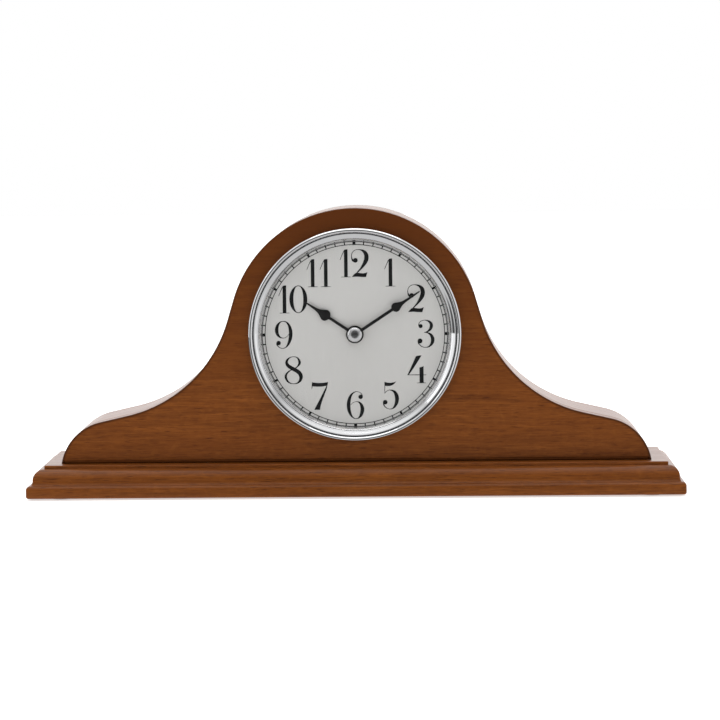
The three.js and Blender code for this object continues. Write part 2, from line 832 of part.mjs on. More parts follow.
function handNutBody() {
  const n = handNut;
  const back = minuteHand.y - gap;
  const dome = [60, 30].map((angle) => [
    n.radius * Math.sin(rad(angle)),
    back - n.height * Math.cos(rad(angle)),
  ]);
  return turned([
    [n.bore, back],
    [n.radius, back],
    ...dome,
    [0, back - n.height],
    [0, back - n.boreDepth],
    [n.bore, back - n.boreDepth],
  ], flats.pad);
}

function buildHands(group) {
  addMesh(group, "hour_hand", handBody(hourHand), "blackLacquer").rotation.y = rad(hourHand.angle);
  addMesh(group, "minute_hand", handBody(minuteHand), "blackLacquer").rotation.y = rad(minuteHand.angle);
  addMesh(group, "hand_nut", handNutBody(), "polishedMetal");
}

// ---- movement ---------------------------------------------------------------------------------------

// A gear with pointed teeth that leave play on both sides. A tooth points along phase degrees.
function gearShape(teeth, module, phase) {
  const pitch = (2 * Math.PI) / teeth;
  const root = module * (teeth / 2 - tooth.depth);
  const tip = module * (teeth / 2 + tooth.height);
  const corners = [
    [-tooth.rootHalf, root],
    [0, tip],
    [tooth.rootHalf, root],
  ];
  const points = [];
  for (let i = 0; i < teeth; i += 1) {
    for (const [share, radius] of corners) {
      const angle = rad(phase) + (i + share) * pitch;
      points.push([radius * Math.cos(angle), radius * Math.sin(angle)]);
    }
  }
  return shapeOf(points);
}

// Phases that put a tooth of the driver into a space of the driven gear along the line between them.
function drivenPhase(direction, teeth) {
  return direction + 180 + 180 / teeth;
}

function gear(teeth, module, phase, y0, y1) {
  return sheet(gearShape(teeth, module, phase), [y0, y1]);
}

// An arbor with a wheel, and a pinion on either side of it.
function wheelAndPinion(wheel, pinion, arbor) {
  const parts = [gear(...wheel), gear(...pinion), rod(arbor.radius, [0, 0], arbor.span, flats.small)];
  return join(...parts);
}

function thirdWheelBody() {
  const driven = pair.seconds;
  const driving = pair.third;
  const phase = drivenPhase(thirdDirection, driven.wheel);
  const pinionSpan = [layer.centre - pinionOverhang / 2, layer.third + bite];
  return wheelAndPinion(
    [driven.wheel, driven.module, phase, layer.third, layer.third + wheelThickness],
    [driving.pinion, driving.module, thirdDirection + 180, ...pinionSpan],
    { radius: arborRadius, span: [pivotFront, pivotBack] },
  );
}

function secondsWheelBody() {
  const driven = pair.intermediate;
  const driving = pair.seconds;
  const phase = drivenPhase(rotorDirection + 180, driven.wheel);
  const pinionSpan = [layer.third - pinionOverhang, layer.seconds + bite];
  return wheelAndPinion(
    [driven.wheel, driven.module, phase, layer.seconds, layer.seconds + wheelThickness],
    [driving.pinion, driving.module, thirdDirection, ...pinionSpan],
    { radius: arborRadius, span: [secondsPivotFront, pivotBack] },
  );
}

function intermediateWheelBody() {
  const driven = pair.rotor;
  const driving = pair.intermediate;
  const phase = drivenPhase(rotorDirection + 180, driven.wheel);
  const pinionSpan = [layer.seconds - pinionOverhang, layer.intermediate + bite];
  return wheelAndPinion(
    [driven.wheel, driven.module, phase, layer.intermediate, layer.intermediate + wheelThickness],
    [driving.pinion, driving.module, rotorDirection + 180, ...pinionSpan],
    { radius: arborRadius, span: [pivotFront, pivotBack] },
  );
}

function rotorBody() {
  const magnet = rod(rotor.magnetRadius, [0, 0], rotor.magnet, flats.hub);
  const pinion = gear(pair.rotor.pinion, pair.rotor.module, rotorDirection + 180, ...rotor.pinion);
  const spindle = rod(rotor.spindle, [0, 0], [pivotFront, pivotBack], flats.pin);
  return join(magnet, pinion, spindle, rod(rotor.collarRadius, [0, 0], rotor.collar, flats.pin));
}

function centreWheelBody() {
  const { wheel, module } = pair.third;
  const phase = drivenPhase(thirdDirection + 180, wheel);
  const body = gear(wheel, module, phase, layer.centre, layer.centre + wheelThickness);
  return cut(body, rod(centreBore, [0, 0], through));
}

// The minute arbor carries the motion-work pinion, the friction seat of the centre wheel and the hand.
function minuteArborBody() {
  const { pinion, module } = pair.cannon;
  const ring = cut(
    gear(pinion, module, motionDirection, layer.motion, layer.motion + wheelThickness),
    rod(arborCore, [0, 0], through, flats.pilot),
  );
  return join(turned(arborSteps, flats.small), ring);
}

function motionWheelBody() {
  const { wheel, module } = pair.cannon;
  const driving = pair.motion;
  const phase = drivenPhase(motionDirection, wheel);
  const front = housing.front + housing.wall + motionArbor.play;
  return wheelAndPinion(
    [wheel, module, phase, layer.motion, layer.motion + wheelThickness],
    [driving.pinion, driving.module, motionDirection + 180, layer.hour - bite, layer.motion + bite],
    { radius: motionArbor.radius, span: [front, motionArbor.back] },
  );
}

function hourWheelBody() {
  const { wheel, module } = pair.motion;
  const phase = drivenPhase(motionDirection + 180, wheel);
  const disc = gear(wheel, module, phase, layer.hour, layer.hour + wheelThickness);
  const tube = rod(hourTube.radius, [0, 0], [hourTube.front, layer.hour + bite], flats.hub);
  return cut(join(disc, tube), rod(hourTube.bore, [0, 0], hourTube.boreSpan, flats.hub));
}

// The housing walls are drawn from the outside box and the room left inside it.
function housingBox(inset, span) {
  const h = housing;
  const shape = roundedRectangle(
    [-h.halfWidth + inset, h.halfWidth - inset],
    [h.low + inset, h.high - inset],
    h.corner - inset,
  );
  return sheet(shape, span, curveSteps.corner);
}

function frontHousingBody() {
  const h = housing;
  const room = housingBox(h.wall, [h.front + h.wall, h.split + overrun]);
  const bushHole = rod(h.bushHole, [0, 0], [0, h.split], flats.hub);
  return cut(housingBox(0, [h.front, h.split]), room, bushHole);
}

function rearHousingBody() {
  const h = housing;
  const opened = [h.split, h.back + overrun];
  const room = housingBox(h.wall, [h.split - overrun, h.back - h.wall]);
  const batteryBay = block(
    [-battery.halfLength - bay.playX, battery.halfLength + bay.playX],
    opened,
    [battery.z - battery.radius - bay.playZ, battery.z + battery.radius + bay.playZ],
  );
  const axes = [[0, 0], thirdAxis, intermediateAxis, rotorAxis];
  const pivots = axes.map((axis) => rod(pivotHole, axis, opened, flats.pilot));
  const walls = housingBox(0, [h.split + gap, h.back]);
  const shell = cut(walls, room, batteryBay, rod(h.knobHole, motionAxis, opened), ...pivots);
  const ribFoot = battery.z + battery.radius + bay.ribAbove;
  const rib = block(
    [-h.halfWidth + bay.ribInset, h.halfWidth - bay.ribInset],
    [h.split + gap, h.back - bay.ribInset],
    [ribFoot, ribFoot + bay.ribThickness],
  );
  return join(shell, rib);
}

function trainPlateBody() {
  const t = trainPlate;
  const shape = roundedRectangle([t.left, t.right], [t.low, t.high], t.corner);
  shape.holes.push(circle(t.centreHole), circle(t.motionHole, motionAxis));
  shape.holes.push(...[thirdAxis, intermediateAxis, rotorAxis].map((axis) => circle(pivotHole, axis)));
  return sheet(shape, [t.front, t.back], curveSteps.hole);
}

// A flat frame: a pole piece round the rotor on one side and the coil core on the other.
function statorBody() {
  const frame = shapeOf(rectangle(stator.frame));
  frame.holes.push(new THREE.Path(shapeOf(rectangle(stator.window)).getPoints()));
  frame.holes.push(circle(stator.rotorHole, rotorAxis));
  return sheet(frame, stator.depth, curveSteps.ring);
}

function coilBody() {
  const core = block(coilCore.x, coilCore.y, coilCore.z);
  return cut(post(coil.radius, [coil.x, coil.y], coil.span, flats.pad), core);
}

function batteryBody() {
  const b = battery;
  const length = 2 * b.halfLength - b.nubLength;
  const body = new THREE.CylinderGeometry(b.radius, b.radius, length, flats.battery);
  body.rotateZ(Math.PI / 2).translate(-b.nubLength / 2, b.y, b.z);
  const nub = new THREE.CylinderGeometry(b.nub, b.nub, 2 * b.nubLength, flats.plain);
  nub.rotateZ(Math.PI / 2).translate(b.halfLength - b.nubLength, b.y, b.z);
  return join(body, nub);
}

// A contact strip at one end of the battery bay, with a tag that reaches up to the circuit board.
function contactBody(end) {
  const { y, z } = battery;
  const c = contact;
  const face = battery.halfLength + c.play;
  const span = end < 0 ? [-face - c.thickness, -face] : [face, face + c.thickness];
  const strip = block(span, [y - c.half, y + c.half], [z - c.half, z + c.top]);
  const tag = block(span, [y + c.tag[0], y + c.tag[1]], [z + c.half, c.tagTop]);
  return join(strip, tag);
}

function knobBody() {
  const k = settingKnob;
  return cut(gear(k.teeth, k.module, 0, k.front, k.back), rod(k.bore, [0, 0], k.boreSpan));
}

function buildMovement(group) {
  const at = ([x, z]) => [x, 0, z];
  addMesh(group, "movement_front_housing", frontHousingBody(), "blackPlastic");
  addMesh(group, "movement_rear_housing", rearHousingBody(), "blackPlastic");
  addMesh(group, "train_plate", trainPlateBody(), "whitePlastic");
  addMesh(group, "minute_arbor", minuteArborBody(), "brass");
  addMesh(group, "centre_wheel", centreWheelBody(), "whitePlastic");
  addMesh(group, "hour_wheel", hourWheelBody(), "whitePlastic");
  addMesh(group, "motion_wheel", motionWheelBody(), "whitePlastic", at(motionAxis));
  addMesh(group, "setting_knob", knobBody(), "blackPlastic", at(motionAxis));
  addMesh(group, "third_wheel", thirdWheelBody(), "whitePlastic", at(thirdAxis));
  addMesh(group, "seconds_wheel", secondsWheelBody(), "whitePlastic");
  addMesh(group, "intermediate_wheel", intermediateWheelBody(), "whitePlastic", at(intermediateAxis));
  addMesh(group, "rotor", rotorBody(), "steel", at(rotorAxis));
  addMesh(group, "stator", statorBody(), "steel");
  addMesh(group, "coil", coilBody(), "copper");
  addMesh(group, "circuit_board", block(board.x, board.y, board.z), "greenBoard");
  addMesh(group, "quartz_crystal", post(crystal.radius, crystal.place, crystal.z), "steel");
  addMesh(group, "battery", batteryBody(), "batteryFoil");
  addMesh(group, "battery_contact_negative", contactBody(-1), "steel");
  addMesh(group, "battery_contact_positive", contactBody(1), "steel");
}

// ---- assembly ---------------------------------------------------------------------------------------

const clock = new THREE.Group();
buildCase(clock);
buildDoor(clock);

const dialUnit = new THREE.Group();
dialUnit.position.set(0, caseDepth.front, outline.dialHeight);
clock.add(dialUnit);
buildDialUnit(dialUnit);
buildHands(dialUnit);
buildMovement(dialUnit);

export default clock;
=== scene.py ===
# A bow-topped mantel clock: the looks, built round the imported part. Lengths are in metres, and the
# dictionaries give millimetres, which mm turns into metres.
import math

import bpy
import numpy as np
from mathutils import Matrix, Vector
from mathutils.geometry import delaunay_2d_cdt, tessellate_polygon


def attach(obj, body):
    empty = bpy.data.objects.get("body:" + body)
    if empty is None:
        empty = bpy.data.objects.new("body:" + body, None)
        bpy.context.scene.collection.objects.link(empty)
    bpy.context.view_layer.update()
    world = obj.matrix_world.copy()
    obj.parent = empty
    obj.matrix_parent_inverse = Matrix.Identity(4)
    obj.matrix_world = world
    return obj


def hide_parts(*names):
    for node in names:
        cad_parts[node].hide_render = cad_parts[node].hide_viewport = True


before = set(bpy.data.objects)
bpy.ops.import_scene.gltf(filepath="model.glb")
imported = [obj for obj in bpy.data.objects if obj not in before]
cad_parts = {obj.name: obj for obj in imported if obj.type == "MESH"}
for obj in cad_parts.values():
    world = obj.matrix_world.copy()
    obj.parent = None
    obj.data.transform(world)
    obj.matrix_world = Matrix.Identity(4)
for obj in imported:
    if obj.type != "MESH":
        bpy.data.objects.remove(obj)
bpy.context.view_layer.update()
mm = 0.001
print("frame loaded:", len(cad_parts), "nodes")

# The camera stands in front, a little above the dial and to the right of it.
view = {
    "place": (0.045, -1.987, 0.244),
    "turn": 1.22,  # degrees to the left
    "down": 4.53,
    "roll": -0.55,
    "lens": 150,
}


# Forward, right and up come from the turn and the downward tilt, and the roll turns the last two.
def addCamera():
    turn, down, roll = (math.radians(view[key]) for key in ("turn", "down", "roll"))
    level = math.cos(down)
    forward = Vector((-math.sin(turn) * level, math.cos(turn) * level, -math.sin(down)))
    right = Vector((math.cos(turn), math.sin(turn), 0))
    up = right.cross(forward)
    tilted = math.cos(roll) * right + math.sin(roll) * up
    raised = -math.sin(roll) * right + math.cos(roll) * up
    lens = bpy.data.cameras.new("camera")
    lens.lens = view["lens"]
    lens.clip_end = 50
    camera = bpy.data.objects.new("camera", lens)
    bpy.context.scene.collection.objects.link(camera)
    axes = Matrix((tilted, raised, -forward)).transposed().to_4x4()
    camera.matrix_world = Matrix.Translation(view["place"]) @ axes
    bpy.context.scene.camera = camera


studio = {
    "floorHalf": 6.0,
    "floorTone": (0.86, 0.86, 0.85, 1),
    "floorRoughness": 0.9,
    "floorGlow": 0.55,
    "frontSky": 0.41,
    # axis, where the brighter part of the sky begins, where it is full and how bright it is
    "brightSky": [
        ("Y", -0.05, 0.45, 1.05),
        ("Z", 0.35, 0.85, 0.55),
        ("Z", 0.02, -0.25, 0.2),
        ("X", 0.55, 0.95, 0.42),
    ],
    # axis, where the spot begins, where it is full and the share of light left in it
    "darkSpots": [("Y", -0.86, -0.965, 0.12), ("X", -0.80, -0.90, 0.15)],
    # name: place, aimed at, width, height, watts
    "lamps": {
        "topPanel": ((0.0, -0.15, 1.9), (0.0, 0.0, 0.1), 1.8, 1.6, 9),
        "leftPanel": ((-1.9, -0.75, 0.65), (0.0, 0.0, 0.1), 1.4, 1.5, 6),
        "rightPanel": ((1.9, -0.8, 0.5), (0.0, 0.0, 0.1), 0.7, 1.2, 0.3),
    },
}


# A pale floor that glows a little, and square lamps, each turned to face the place that it is aimed at.
def addStudio():
    scene = bpy.context.scene
    scene.view_settings.view_transform = "Standard"
    half = studio["floorHalf"]
    corners = np.array([[-half, -half, 0], [half, -half, 0], [half, half, 0], [-half, half, 0]])
    mesh = bpy.data.meshes.new("studioFloor")
    mesh.from_pydata(corners.tolist(), [], [[0, 1, 2, 3]])
    floor = bpy.data.objects.new("studioFloor", mesh)
    scene.collection.objects.link(floor)
    material = bpy.data.materials.new("paleFloor")
    material.use_nodes = True
    surface = material.node_tree.nodes["Principled BSDF"]
    surface.inputs["Base Color"].default_value = studio["floorTone"]
    surface.inputs["Roughness"].default_value = studio["floorRoughness"]
    surface.inputs["Emission Color"].default_value = (1, 1, 1, 1)
    surface.inputs["Emission Strength"].default_value = studio["floorGlow"]
    mesh.materials.append(material)
    floor.visible_glossy = False
    floor.visible_transmission = False
    for name, (place, aim, width, height, watts) in studio["lamps"].items():
        lamp = bpy.data.lights.new(name, "AREA")
        lamp.shape = "RECTANGLE"
        lamp.size, lamp.size_y, lamp.energy = width, height, watts
        holder = bpy.data.objects.new(name, lamp)
        holder.location = place
        holder.rotation_euler = (Vector(aim) - Vector(place)).to_track_quat("-Z", "Y").to_euler()
        scene.collection.objects.link(holder)
    addSky(scene)


# The value's place between low and high becomes a number from toLow to toHigh, and never leaves them.
def span(tree, value, low, high, toLow=0.0, toHigh=1.0, step="LINEAR"):
    ramp = tree.nodes.new("ShaderNodeMapRange")
    ramp.interpolation_type = step
    for key, number in (("From Min", low), ("From Max", high), ("To Min", toLow), ("To Max", toHigh)):
        ramp.inputs[key].default_value = number
    tree.links.new(value, ramp.inputs["Value"])
    return ramp.outputs["Result"]


# One number out of two: their product, or the larger of them.
def combine(tree, operation, first, second):
    node = tree.nodes.new("ShaderNodeMath")
    node.operation = operation
    tree.links.new(first, node.inputs[0])
    tree.links.new(second, node.inputs[1])
    return node.outputs[0]


# The sky is white to the camera. Everything else sees a studio: bright behind and above, dim in front.
def addSky(scene):
    world = bpy.data.worlds.new("studioSky")
    scene.world = world
    world.use_nodes = True
    tree = world.node_tree
    background = tree.nodes["Background"]
    background.inputs["Color"].default_value = (1, 1, 1, 1)
    place = tree.nodes.new("ShaderNodeTexCoord")
    axes = tree.nodes.new("ShaderNodeSeparateXYZ")
    tree.links.new(place.outputs["Generated"], axes.inputs[0])
    brightest = None
    for axis, low, high, top in studio["brightSky"]:
        part = span(tree, axes.outputs[axis], low, high, 0, top, "SMOOTHSTEP")
        brightest = combine(tree, "MAXIMUM", brightest, part) if brightest else part
    lifted = tree.nodes.new("ShaderNodeMath")
    lifted.inputs[1].default_value = studio["frontSky"]
    tree.links.new(brightest, lifted.inputs[0])
    dimmed = lifted.outputs[0]
    for axis, edge, middle, left in studio["darkSpots"]:
        share = span(tree, axes.outputs[axis], edge, middle, 1, left, "SMOOTHSTEP")
        dimmed = combine(tree, "MULTIPLY", dimmed, share)
    rays = tree.nodes.new("ShaderNodeLightPath")
    seen = tree.nodes.new("ShaderNodeMix")
    tree.links.new(rays.outputs["Is Camera Ray"], seen.inputs["Factor"])
    tree.links.new(dimmed, seen.inputs["A"])
    seen.inputs["B"].default_value = 1.0
    tree.links.new(seen.outputs["Result"], background.inputs["Strength"])


addCamera()
addStudio()
print("camera, floor and lamps placed")


# A finish is a principled shader whose colour, roughness and bump come from stretched noises.
def startFinish(name, colour, **sockets):
    material = bpy.data.materials.new(name)
    material.use_nodes = True
    tree = material.node_tree
    surface = tree.nodes["Principled BSDF"]
    surface.inputs["Base Color"].default_value = (*colour, 1)
    for key, value in sockets.items():
        surface.inputs[key].default_value = value
    return material, tree, surface


# The place in the object, or the place along the grain that an attribute holds.
def objectPlace(tree, attribute=None):
    if attribute:
        place = tree.nodes.new("ShaderNodeAttribute")
        place.attribute_name = attribute
        return place.outputs["Vector"]
    return tree.nodes.new("ShaderNodeTexCoord").outputs["Object"]


# Noise of the place times stretch, so a larger number gives finer marks along that axis.
def noise(tree, place, stretch, detail, rough, warp=0.0, shift=(0, 0, 0)):
    mapping = tree.nodes.new("ShaderNodeMapping")
    mapping.inputs["Scale"].default_value = stretch
    mapping.inputs["Location"].default_value = shift
    tree.links.new(place, mapping.inputs["Vector"])
    texture = tree.nodes.new("ShaderNodeTexNoise")
    texture.inputs["Scale"].default_value = 1.0
    texture.inputs["Detail"].default_value = detail
    texture.inputs["Roughness"].default_value = rough
    texture.inputs["Distortion"].default_value = warp
    tree.links.new(mapping.outputs["Vector"], texture.inputs["Vector"])
    return texture.outputs["Fac"]


# The first colour times one less the factor, and the second times the factor. Either may be a socket.
def blendColours(tree, factor, first, second):
    mix = tree.nodes.new("ShaderNodeMix")
    mix.data_type = "RGBA"
    tree.links.new(factor, mix.inputs["Factor"])
    for key, colour in (("A", first), ("B", second)):
        socket = [s for s in mix.inputs if s.name == key and s.type == "RGBA"][0]
        if isinstance(colour, tuple):
            socket.default_value = (*colour, 1)
        else:
            tree.links.new(colour, socket)
    return [s for s in mix.outputs if s.type == "RGBA"][0]


# Tilts the normal by the slope of a height that is worth distance in metres from 0 to 1.
def addBump(tree, surface, height, distance, strength):
    bump = tree.nodes.new("ShaderNodeBump")
    bump.inputs["Strength"].default_value = strength
    bump.inputs["Distance"].default_value = distance
    tree.links.new(height, bump.inputs["Height"])
    tree.links.new(bump.outputs["Normal"], surface.inputs["Normal"])


wood = {
    "dark": (0.096, 0.0245, 0.0034),
    "middle": (0.188, 0.052, 0.0072),
    "light": (0.285, 0.088, 0.0150),
    "pore": (0.035, 0.009, 0.002),
    # scale along and across the grain, detail, roughness, warp and shift of each noise
    "streaks": (14, 360, 6, 0.62, 0.9, (0, 0, 0)),
    "broad": (4, 44, 3, 0.5, 2.2, (3, 1, 7)),
    "dashes": (70, 1300, 3, 0.6, 0.4, (1, 5, 2)),
    "flecks": (190, 260, 4, 0.6, 1.0, (9, 4, 1)),
    "pores": (110, 2400, 2, 0.5, 0.0, (7, 2, 4)),
    # the range of each noise, or height in metres for the painted shade towards the crown, and the strengths
    # that it turns into
    "streakTone": (0.32, 0.68, 0.0, 1.0),
    "broadTone": (0.35, 0.65, 0.25, 0.85),
    "fleckTone": (0.50, 0.72, 0.0, 0.30),
    "dashTone": (0.36, 0.56, 0.36, 0.0),
    "poreTone": (0.58, 0.68, 0.0, 0.65),
    "arrisTone": (0.0, 1.0, 0.0, 0.75),
    "paintedCrownShade": (0.055, 0.185, 0.0, 1.0),
    "gloss": (0.3, 0.7, 0.40, 0.30),
    "poreDepth": (0.60, 0.72, 0.0, -1.0),
    "bump": (0.00006, 0.35),  # depth in metres and strength
    "lacquer": {"Specular IOR Level": 0.12, "Coat IOR": 1.3, "Coat Weight": 0.3, "Coat Roughness": 0.14},
}


# Streaks mix the dark and light stain, and each finer noise then blends its own colour over that. The
# colour is darker along the arrises, which the arris attribute marks, and painted shade darkens it towards
# the crown.
def woodFinish(name, attribute=None):
    material, tree, surface = startFinish(name, wood["middle"], **wood["lacquer"])
    place = objectPlace(tree, attribute)

    def grain(key):
        length, fine, *rest = wood[key]
        return noise(tree, place, (length, fine, fine), *rest)

    names = ("streaks", "broad", "dashes", "flecks", "pores")
    streaks, broad, dashes, flecks, pores = (grain(key) for key in names)
    arris = tree.nodes.new("ShaderNodeAttribute")
    arris.attribute_name = "arris"
    body = blendColours(tree, span(tree, streaks, *wood["streakTone"]), wood["dark"], wood["light"])
    for value, tone, colour in (
        (broad, "broadTone", "middle"),
        (flecks, "fleckTone", "light"),
        (dashes, "dashTone", "dark"),
        (pores, "poreTone", "pore"),
        (arris.outputs["Fac"], "arrisTone", "pore"),
    ):
        body = blendColours(tree, span(tree, value, *wood[tone]), body, wood[colour])
    # Painted shade: the colour turns towards the dark stain as the height rises to the crown.
    if not attribute:
        height = tree.nodes.new("ShaderNodeSeparateXYZ")
        tree.links.new(place, height.inputs[0])
        body = blendColours(tree, span(tree, height.outputs["Z"], *wood["paintedCrownShade"]), body, wood["dark"])
    tree.links.new(body, surface.inputs["Base Color"])
    tree.links.new(span(tree, streaks, *wood["gloss"]), surface.inputs["Roughness"])
    addBump(tree, surface, span(tree, pores, *wood["poreDepth"]), *wood["bump"])
    return material


metal = {"Metallic": 1.0}
foil = {"Metallic": 0.5}
shine = "Specular IOR Level"
# slot: shader name, two colours, scale of the noise, lowest and highest roughness, bump in metres, sockets
plain = {
    "plain_wood": ("plainWood", (0.52, 0.34, 0.17), (0.42, 0.26, 0.12), 90, 0.6, 0.8, 1e-4, {}),
    "polished_metal": ("polishedMetal", (0.86, 0.86, 0.87), (0.83, 0.835, 0.85), 160, 0.035, 0.07, 0, metal),
    "brass": ("lacqueredBrass", (0.72, 0.50, 0.20), (0.60, 0.40, 0.15), 220, 0.22, 0.36, 0, metal),
    "steel": ("platedSteel", (0.56, 0.57, 0.58), (0.46, 0.47, 0.49), 250, 0.28, 0.45, 0, metal),
    "black_lacquer": ("blackLacquer", (0.006,) * 3, (0.012,) * 3, 300, 0.3, 0.42, 0, {shine: 0.3}),
    "black_ink": ("blackInk", (0.006, 0.006, 0.0065), (0.010, 0.010, 0.011), 400, 0.5, 0.7, 0, {shine: 0.12}),
    "black_plastic": ("blackPlastic", (0.018, 0.018, 0.019), (0.03, 0.03, 0.031), 900, 0.42, 0.6, 4e-5, {}),
    "white_plastic": ("whitePlastic", (0.75, 0.73, 0.67), (0.68, 0.66, 0.60), 400, 0.35, 0.5, 0, {}),
    "green_board": ("greenBoard", (0.02, 0.13, 0.05), (0.03, 0.18, 0.08), 700, 0.35, 0.5, 0, {}),
    "copper": ("copperWinding", (0.55, 0.22, 0.10), (0.42, 0.15, 0.06), 1500, 0.3, 0.45, 8e-5, metal),
    "black_felt": ("blackFelt", (0.012, 0.016, 0.013), (0.03, 0.036, 0.032), 1800, 0.9, 1.0, 3e-4, {}),
    "rubber": ("rubber", (0.012,) * 3, (0.022,) * 3, 600, 0.7, 0.9, 0, {}),
    "battery_foil": ("batteryFoil", (0.10, 0.14, 0.20), (0.14, 0.18, 0.24), 120, 0.25, 0.4, 0, foil),
}
speckle = {
    "cloud": (5, 0.6),
    "range": (0.3, 0.7),
    "finer": 6,
    "fine": (2, 0.5, 0.0, (2, 3, 5)),
    "strength": 0.6,
}


# A plain finish: one cloud of noise drifts between two colours and between two roughnesses.
def speckledFinish(name, colour, other, grain, low, high, bumpDepth, sockets):
    material, tree, surface = startFinish(name, colour, **sockets)
    place = objectPlace(tree)
    cloud = noise(tree, place, (grain,) * 3, *speckle["cloud"])
    tone = blendColours(tree, span(tree, cloud, *speckle["range"]), colour, other)
    tree.links.new(tone, surface.inputs["Base Color"])
    tree.links.new(span(tree, cloud, *speckle["range"], low, high), surface.inputs["Roughness"])
    if bumpDepth:
        fine = noise(tree, place, (grain * speckle["finer"],) * 3, *speckle["fine"])
        addBump(tree, surface, fine, bumpDepth, speckle["strength"])
    return material


satin = {
    "first": (0.66, 0.655, 0.64),
    "tones": ((0.64, 0.635, 0.62), (0.68, 0.675, 0.66)),
    "cloudTone": (0.70, 0.695, 0.68),
    "metallic": 0.25,
    "brushing": ((2600, 2600, 60), 3, 0.6),
    "cloud": ((14, 14, 14), 2, 0.5),
    "range": (0.3, 0.7),
    "cloudShare": (0.0, 0.25),
    "roughness": (0.42, 0.5),
    "bump": (0.000004, 0.4),
}


# The satin dial: a fine upright brushing under clear lacquer, with a broad cloud blended over it.
def dialFinish():
    material, tree, surface = startFinish("satinSilver", satin["first"], Metallic=satin["metallic"])
    place = objectPlace(tree)
    brushing = noise(tree, place, *satin["brushing"])
    cloud = noise(tree, place, *satin["cloud"])
    tone = blendColours(tree, span(tree, brushing, *satin["range"]), *satin["tones"])
    share = span(tree, cloud, *satin["range"], *satin["cloudShare"])
    tone = blendColours(tree, share, tone, satin["cloudTone"])
    tree.links.new(tone, surface.inputs["Base Color"])
    tree.links.new(span(tree, brushing, *satin["range"], *satin["roughness"]), surface.inputs["Roughness"])
    addBump(tree, surface, brushing, *satin["bump"])
    return material


glass = {
    "sockets": {"Roughness": 0.0, "IOR": 1.45, "Transmission Weight": 1.0, shine: 0.35},
    "smear": ((30, 30, 30), 3, 0.5),
    "smearRoughness": (0.3, 0.8, 0.0, 0.02),
}


# Clear glass that lets the light of the lamps, the sky and the floor straight through to the dial.
def glassFinish():
    material, tree, surface = startFinish("clearGlass", (1, 1, 1), **glass["sockets"])
    smear = noise(tree, objectPlace(tree), *glass["smear"])
    tree.links.new(span(tree, smear, *glass["smearRoughness"]), surface.inputs["Roughness"])
    clear = tree.nodes.new("ShaderNodeBsdfTransparent")
    rays = tree.nodes.new("ShaderNodeLightPath")
    straight = combine(tree, "MAXIMUM", rays.outputs["Is Shadow Ray"], rays.outputs["Is Diffuse Ray"])
    choice = tree.nodes.new("ShaderNodeMixShader")
    tree.links.new(straight, choice.inputs["Fac"])
    tree.links.new(surface.outputs["BSDF"], choice.inputs[1])
    tree.links.new(clear.outputs["BSDF"], choice.inputs[2])
    tree.links.new(choice.outputs["Shader"], tree.nodes["Material Output"].inputs["Surface"])
    return material


finishes = {slotName: speckledFinish(*values) for slotName, values in plain.items()}
finishes["stained_wood"] = woodFinish("stainedWood")
finishes["bent_wood"] = woodFinish("stainedWoodBent", attribute="grainPlace")
finishes["silver_dial"] = dialFinish()
finishes["clear_glass"] = glassFinish()
# The frame's finishes have the same words, in camelCase.
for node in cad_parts.values():
    for holder in node.material_slots:
        word = holder.material.name.split(".")[0]
        holder.material = finishes["".join("_" + c.lower() if c.isupper() else c for c in word)]
print("finishes made:", len(finishes))


# Puts arrays of points and of faces with 3, 4 or more corners into a piece, faces outwards.
def addPiece(name, points, faceSets, body, slotName, finish=None, replaced=(), sharp=32.0):
    corners = np.concatenate([faces.reshape(-1) for faces in faceSets]).astype(np.int32)
    sizes = np.concatenate([np.full(len(faces), faces.shape[1]) for faces in faceSets])
    mesh = bpy.data.meshes.new(name)
    mesh.vertices.add(len(points))
    mesh.vertices.foreach_set("co", (np.asarray(points) * mm).astype(np.float32).ravel())
    mesh.loops.add(len(corners))
    mesh.loops.foreach_set("vertex_index", corners)
    mesh.polygons.add(len(sizes))
    mesh.polygons.foreach_set("loop_start", (np.cumsum(sizes) - sizes).astype(np.int32))
    mesh.update(calc_edges=True)
    count = len(mesh.polygons)
    centres, normals, areas = (np.zeros(count * size) for size in (3, 3, 1))
    mesh.polygons.foreach_get("center", centres)
    mesh.polygons.foreach_get("normal", normals)
    mesh.polygons.foreach_get("area", areas)
    volume = ((centres.reshape(-1, 3) * normals.reshape(-1, 3)).sum(1) * areas).sum()
    if volume < 0:
        mesh.flip_normals()
    mesh.polygons.foreach_set("use_smooth", np.ones(count, bool))
    mesh.set_sharp_from_angle(angle=math.radians(sharp))
    mesh.materials.append(finishes[finish or slotName])
    piece = bpy.data.objects.new(name, mesh)
    bpy.context.scene.collection.objects.link(piece)
    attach(piece, body)
    if replaced:
        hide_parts(*replaced)
    return piece


# Quads between rings: rings has one row of point numbers for each ring, all with the same count.
def strips(rings):
    first, second = rings[:-1], rings[1:]
    quads = np.stack([first, np.roll(first, -1, 1), np.roll(second, -1, 1), second], -1)
    return quads.reshape(-1, 4)


# Half the sum of the cross products of neighbours: positive where the loop runs anticlockwise.
def signedArea(loop):
    x, z = loop.T
    return 0.5 * (x * np.roll(z, -1) - np.roll(x, -1) * z).sum()


# Moves each corner of a closed loop towards its left by inset, along the mitre of its two edges: the sum
# of their normals over one and their cosine, which is kept from falling low at sharp corners.
def moved(loop, inset):
    edge = np.roll(loop, -1, 0) - loop
    edge /= np.linalg.norm(edge, axis=1, keepdims=True)
    left = np.stack([-edge[:, 1], edge[:, 0]], 1)
    before = np.roll(left, 1, 0)
    scale = 1 + (left * before).sum(1, keepdims=True)
    return loop + inset * (left + before) / np.maximum(scale, 0.3)


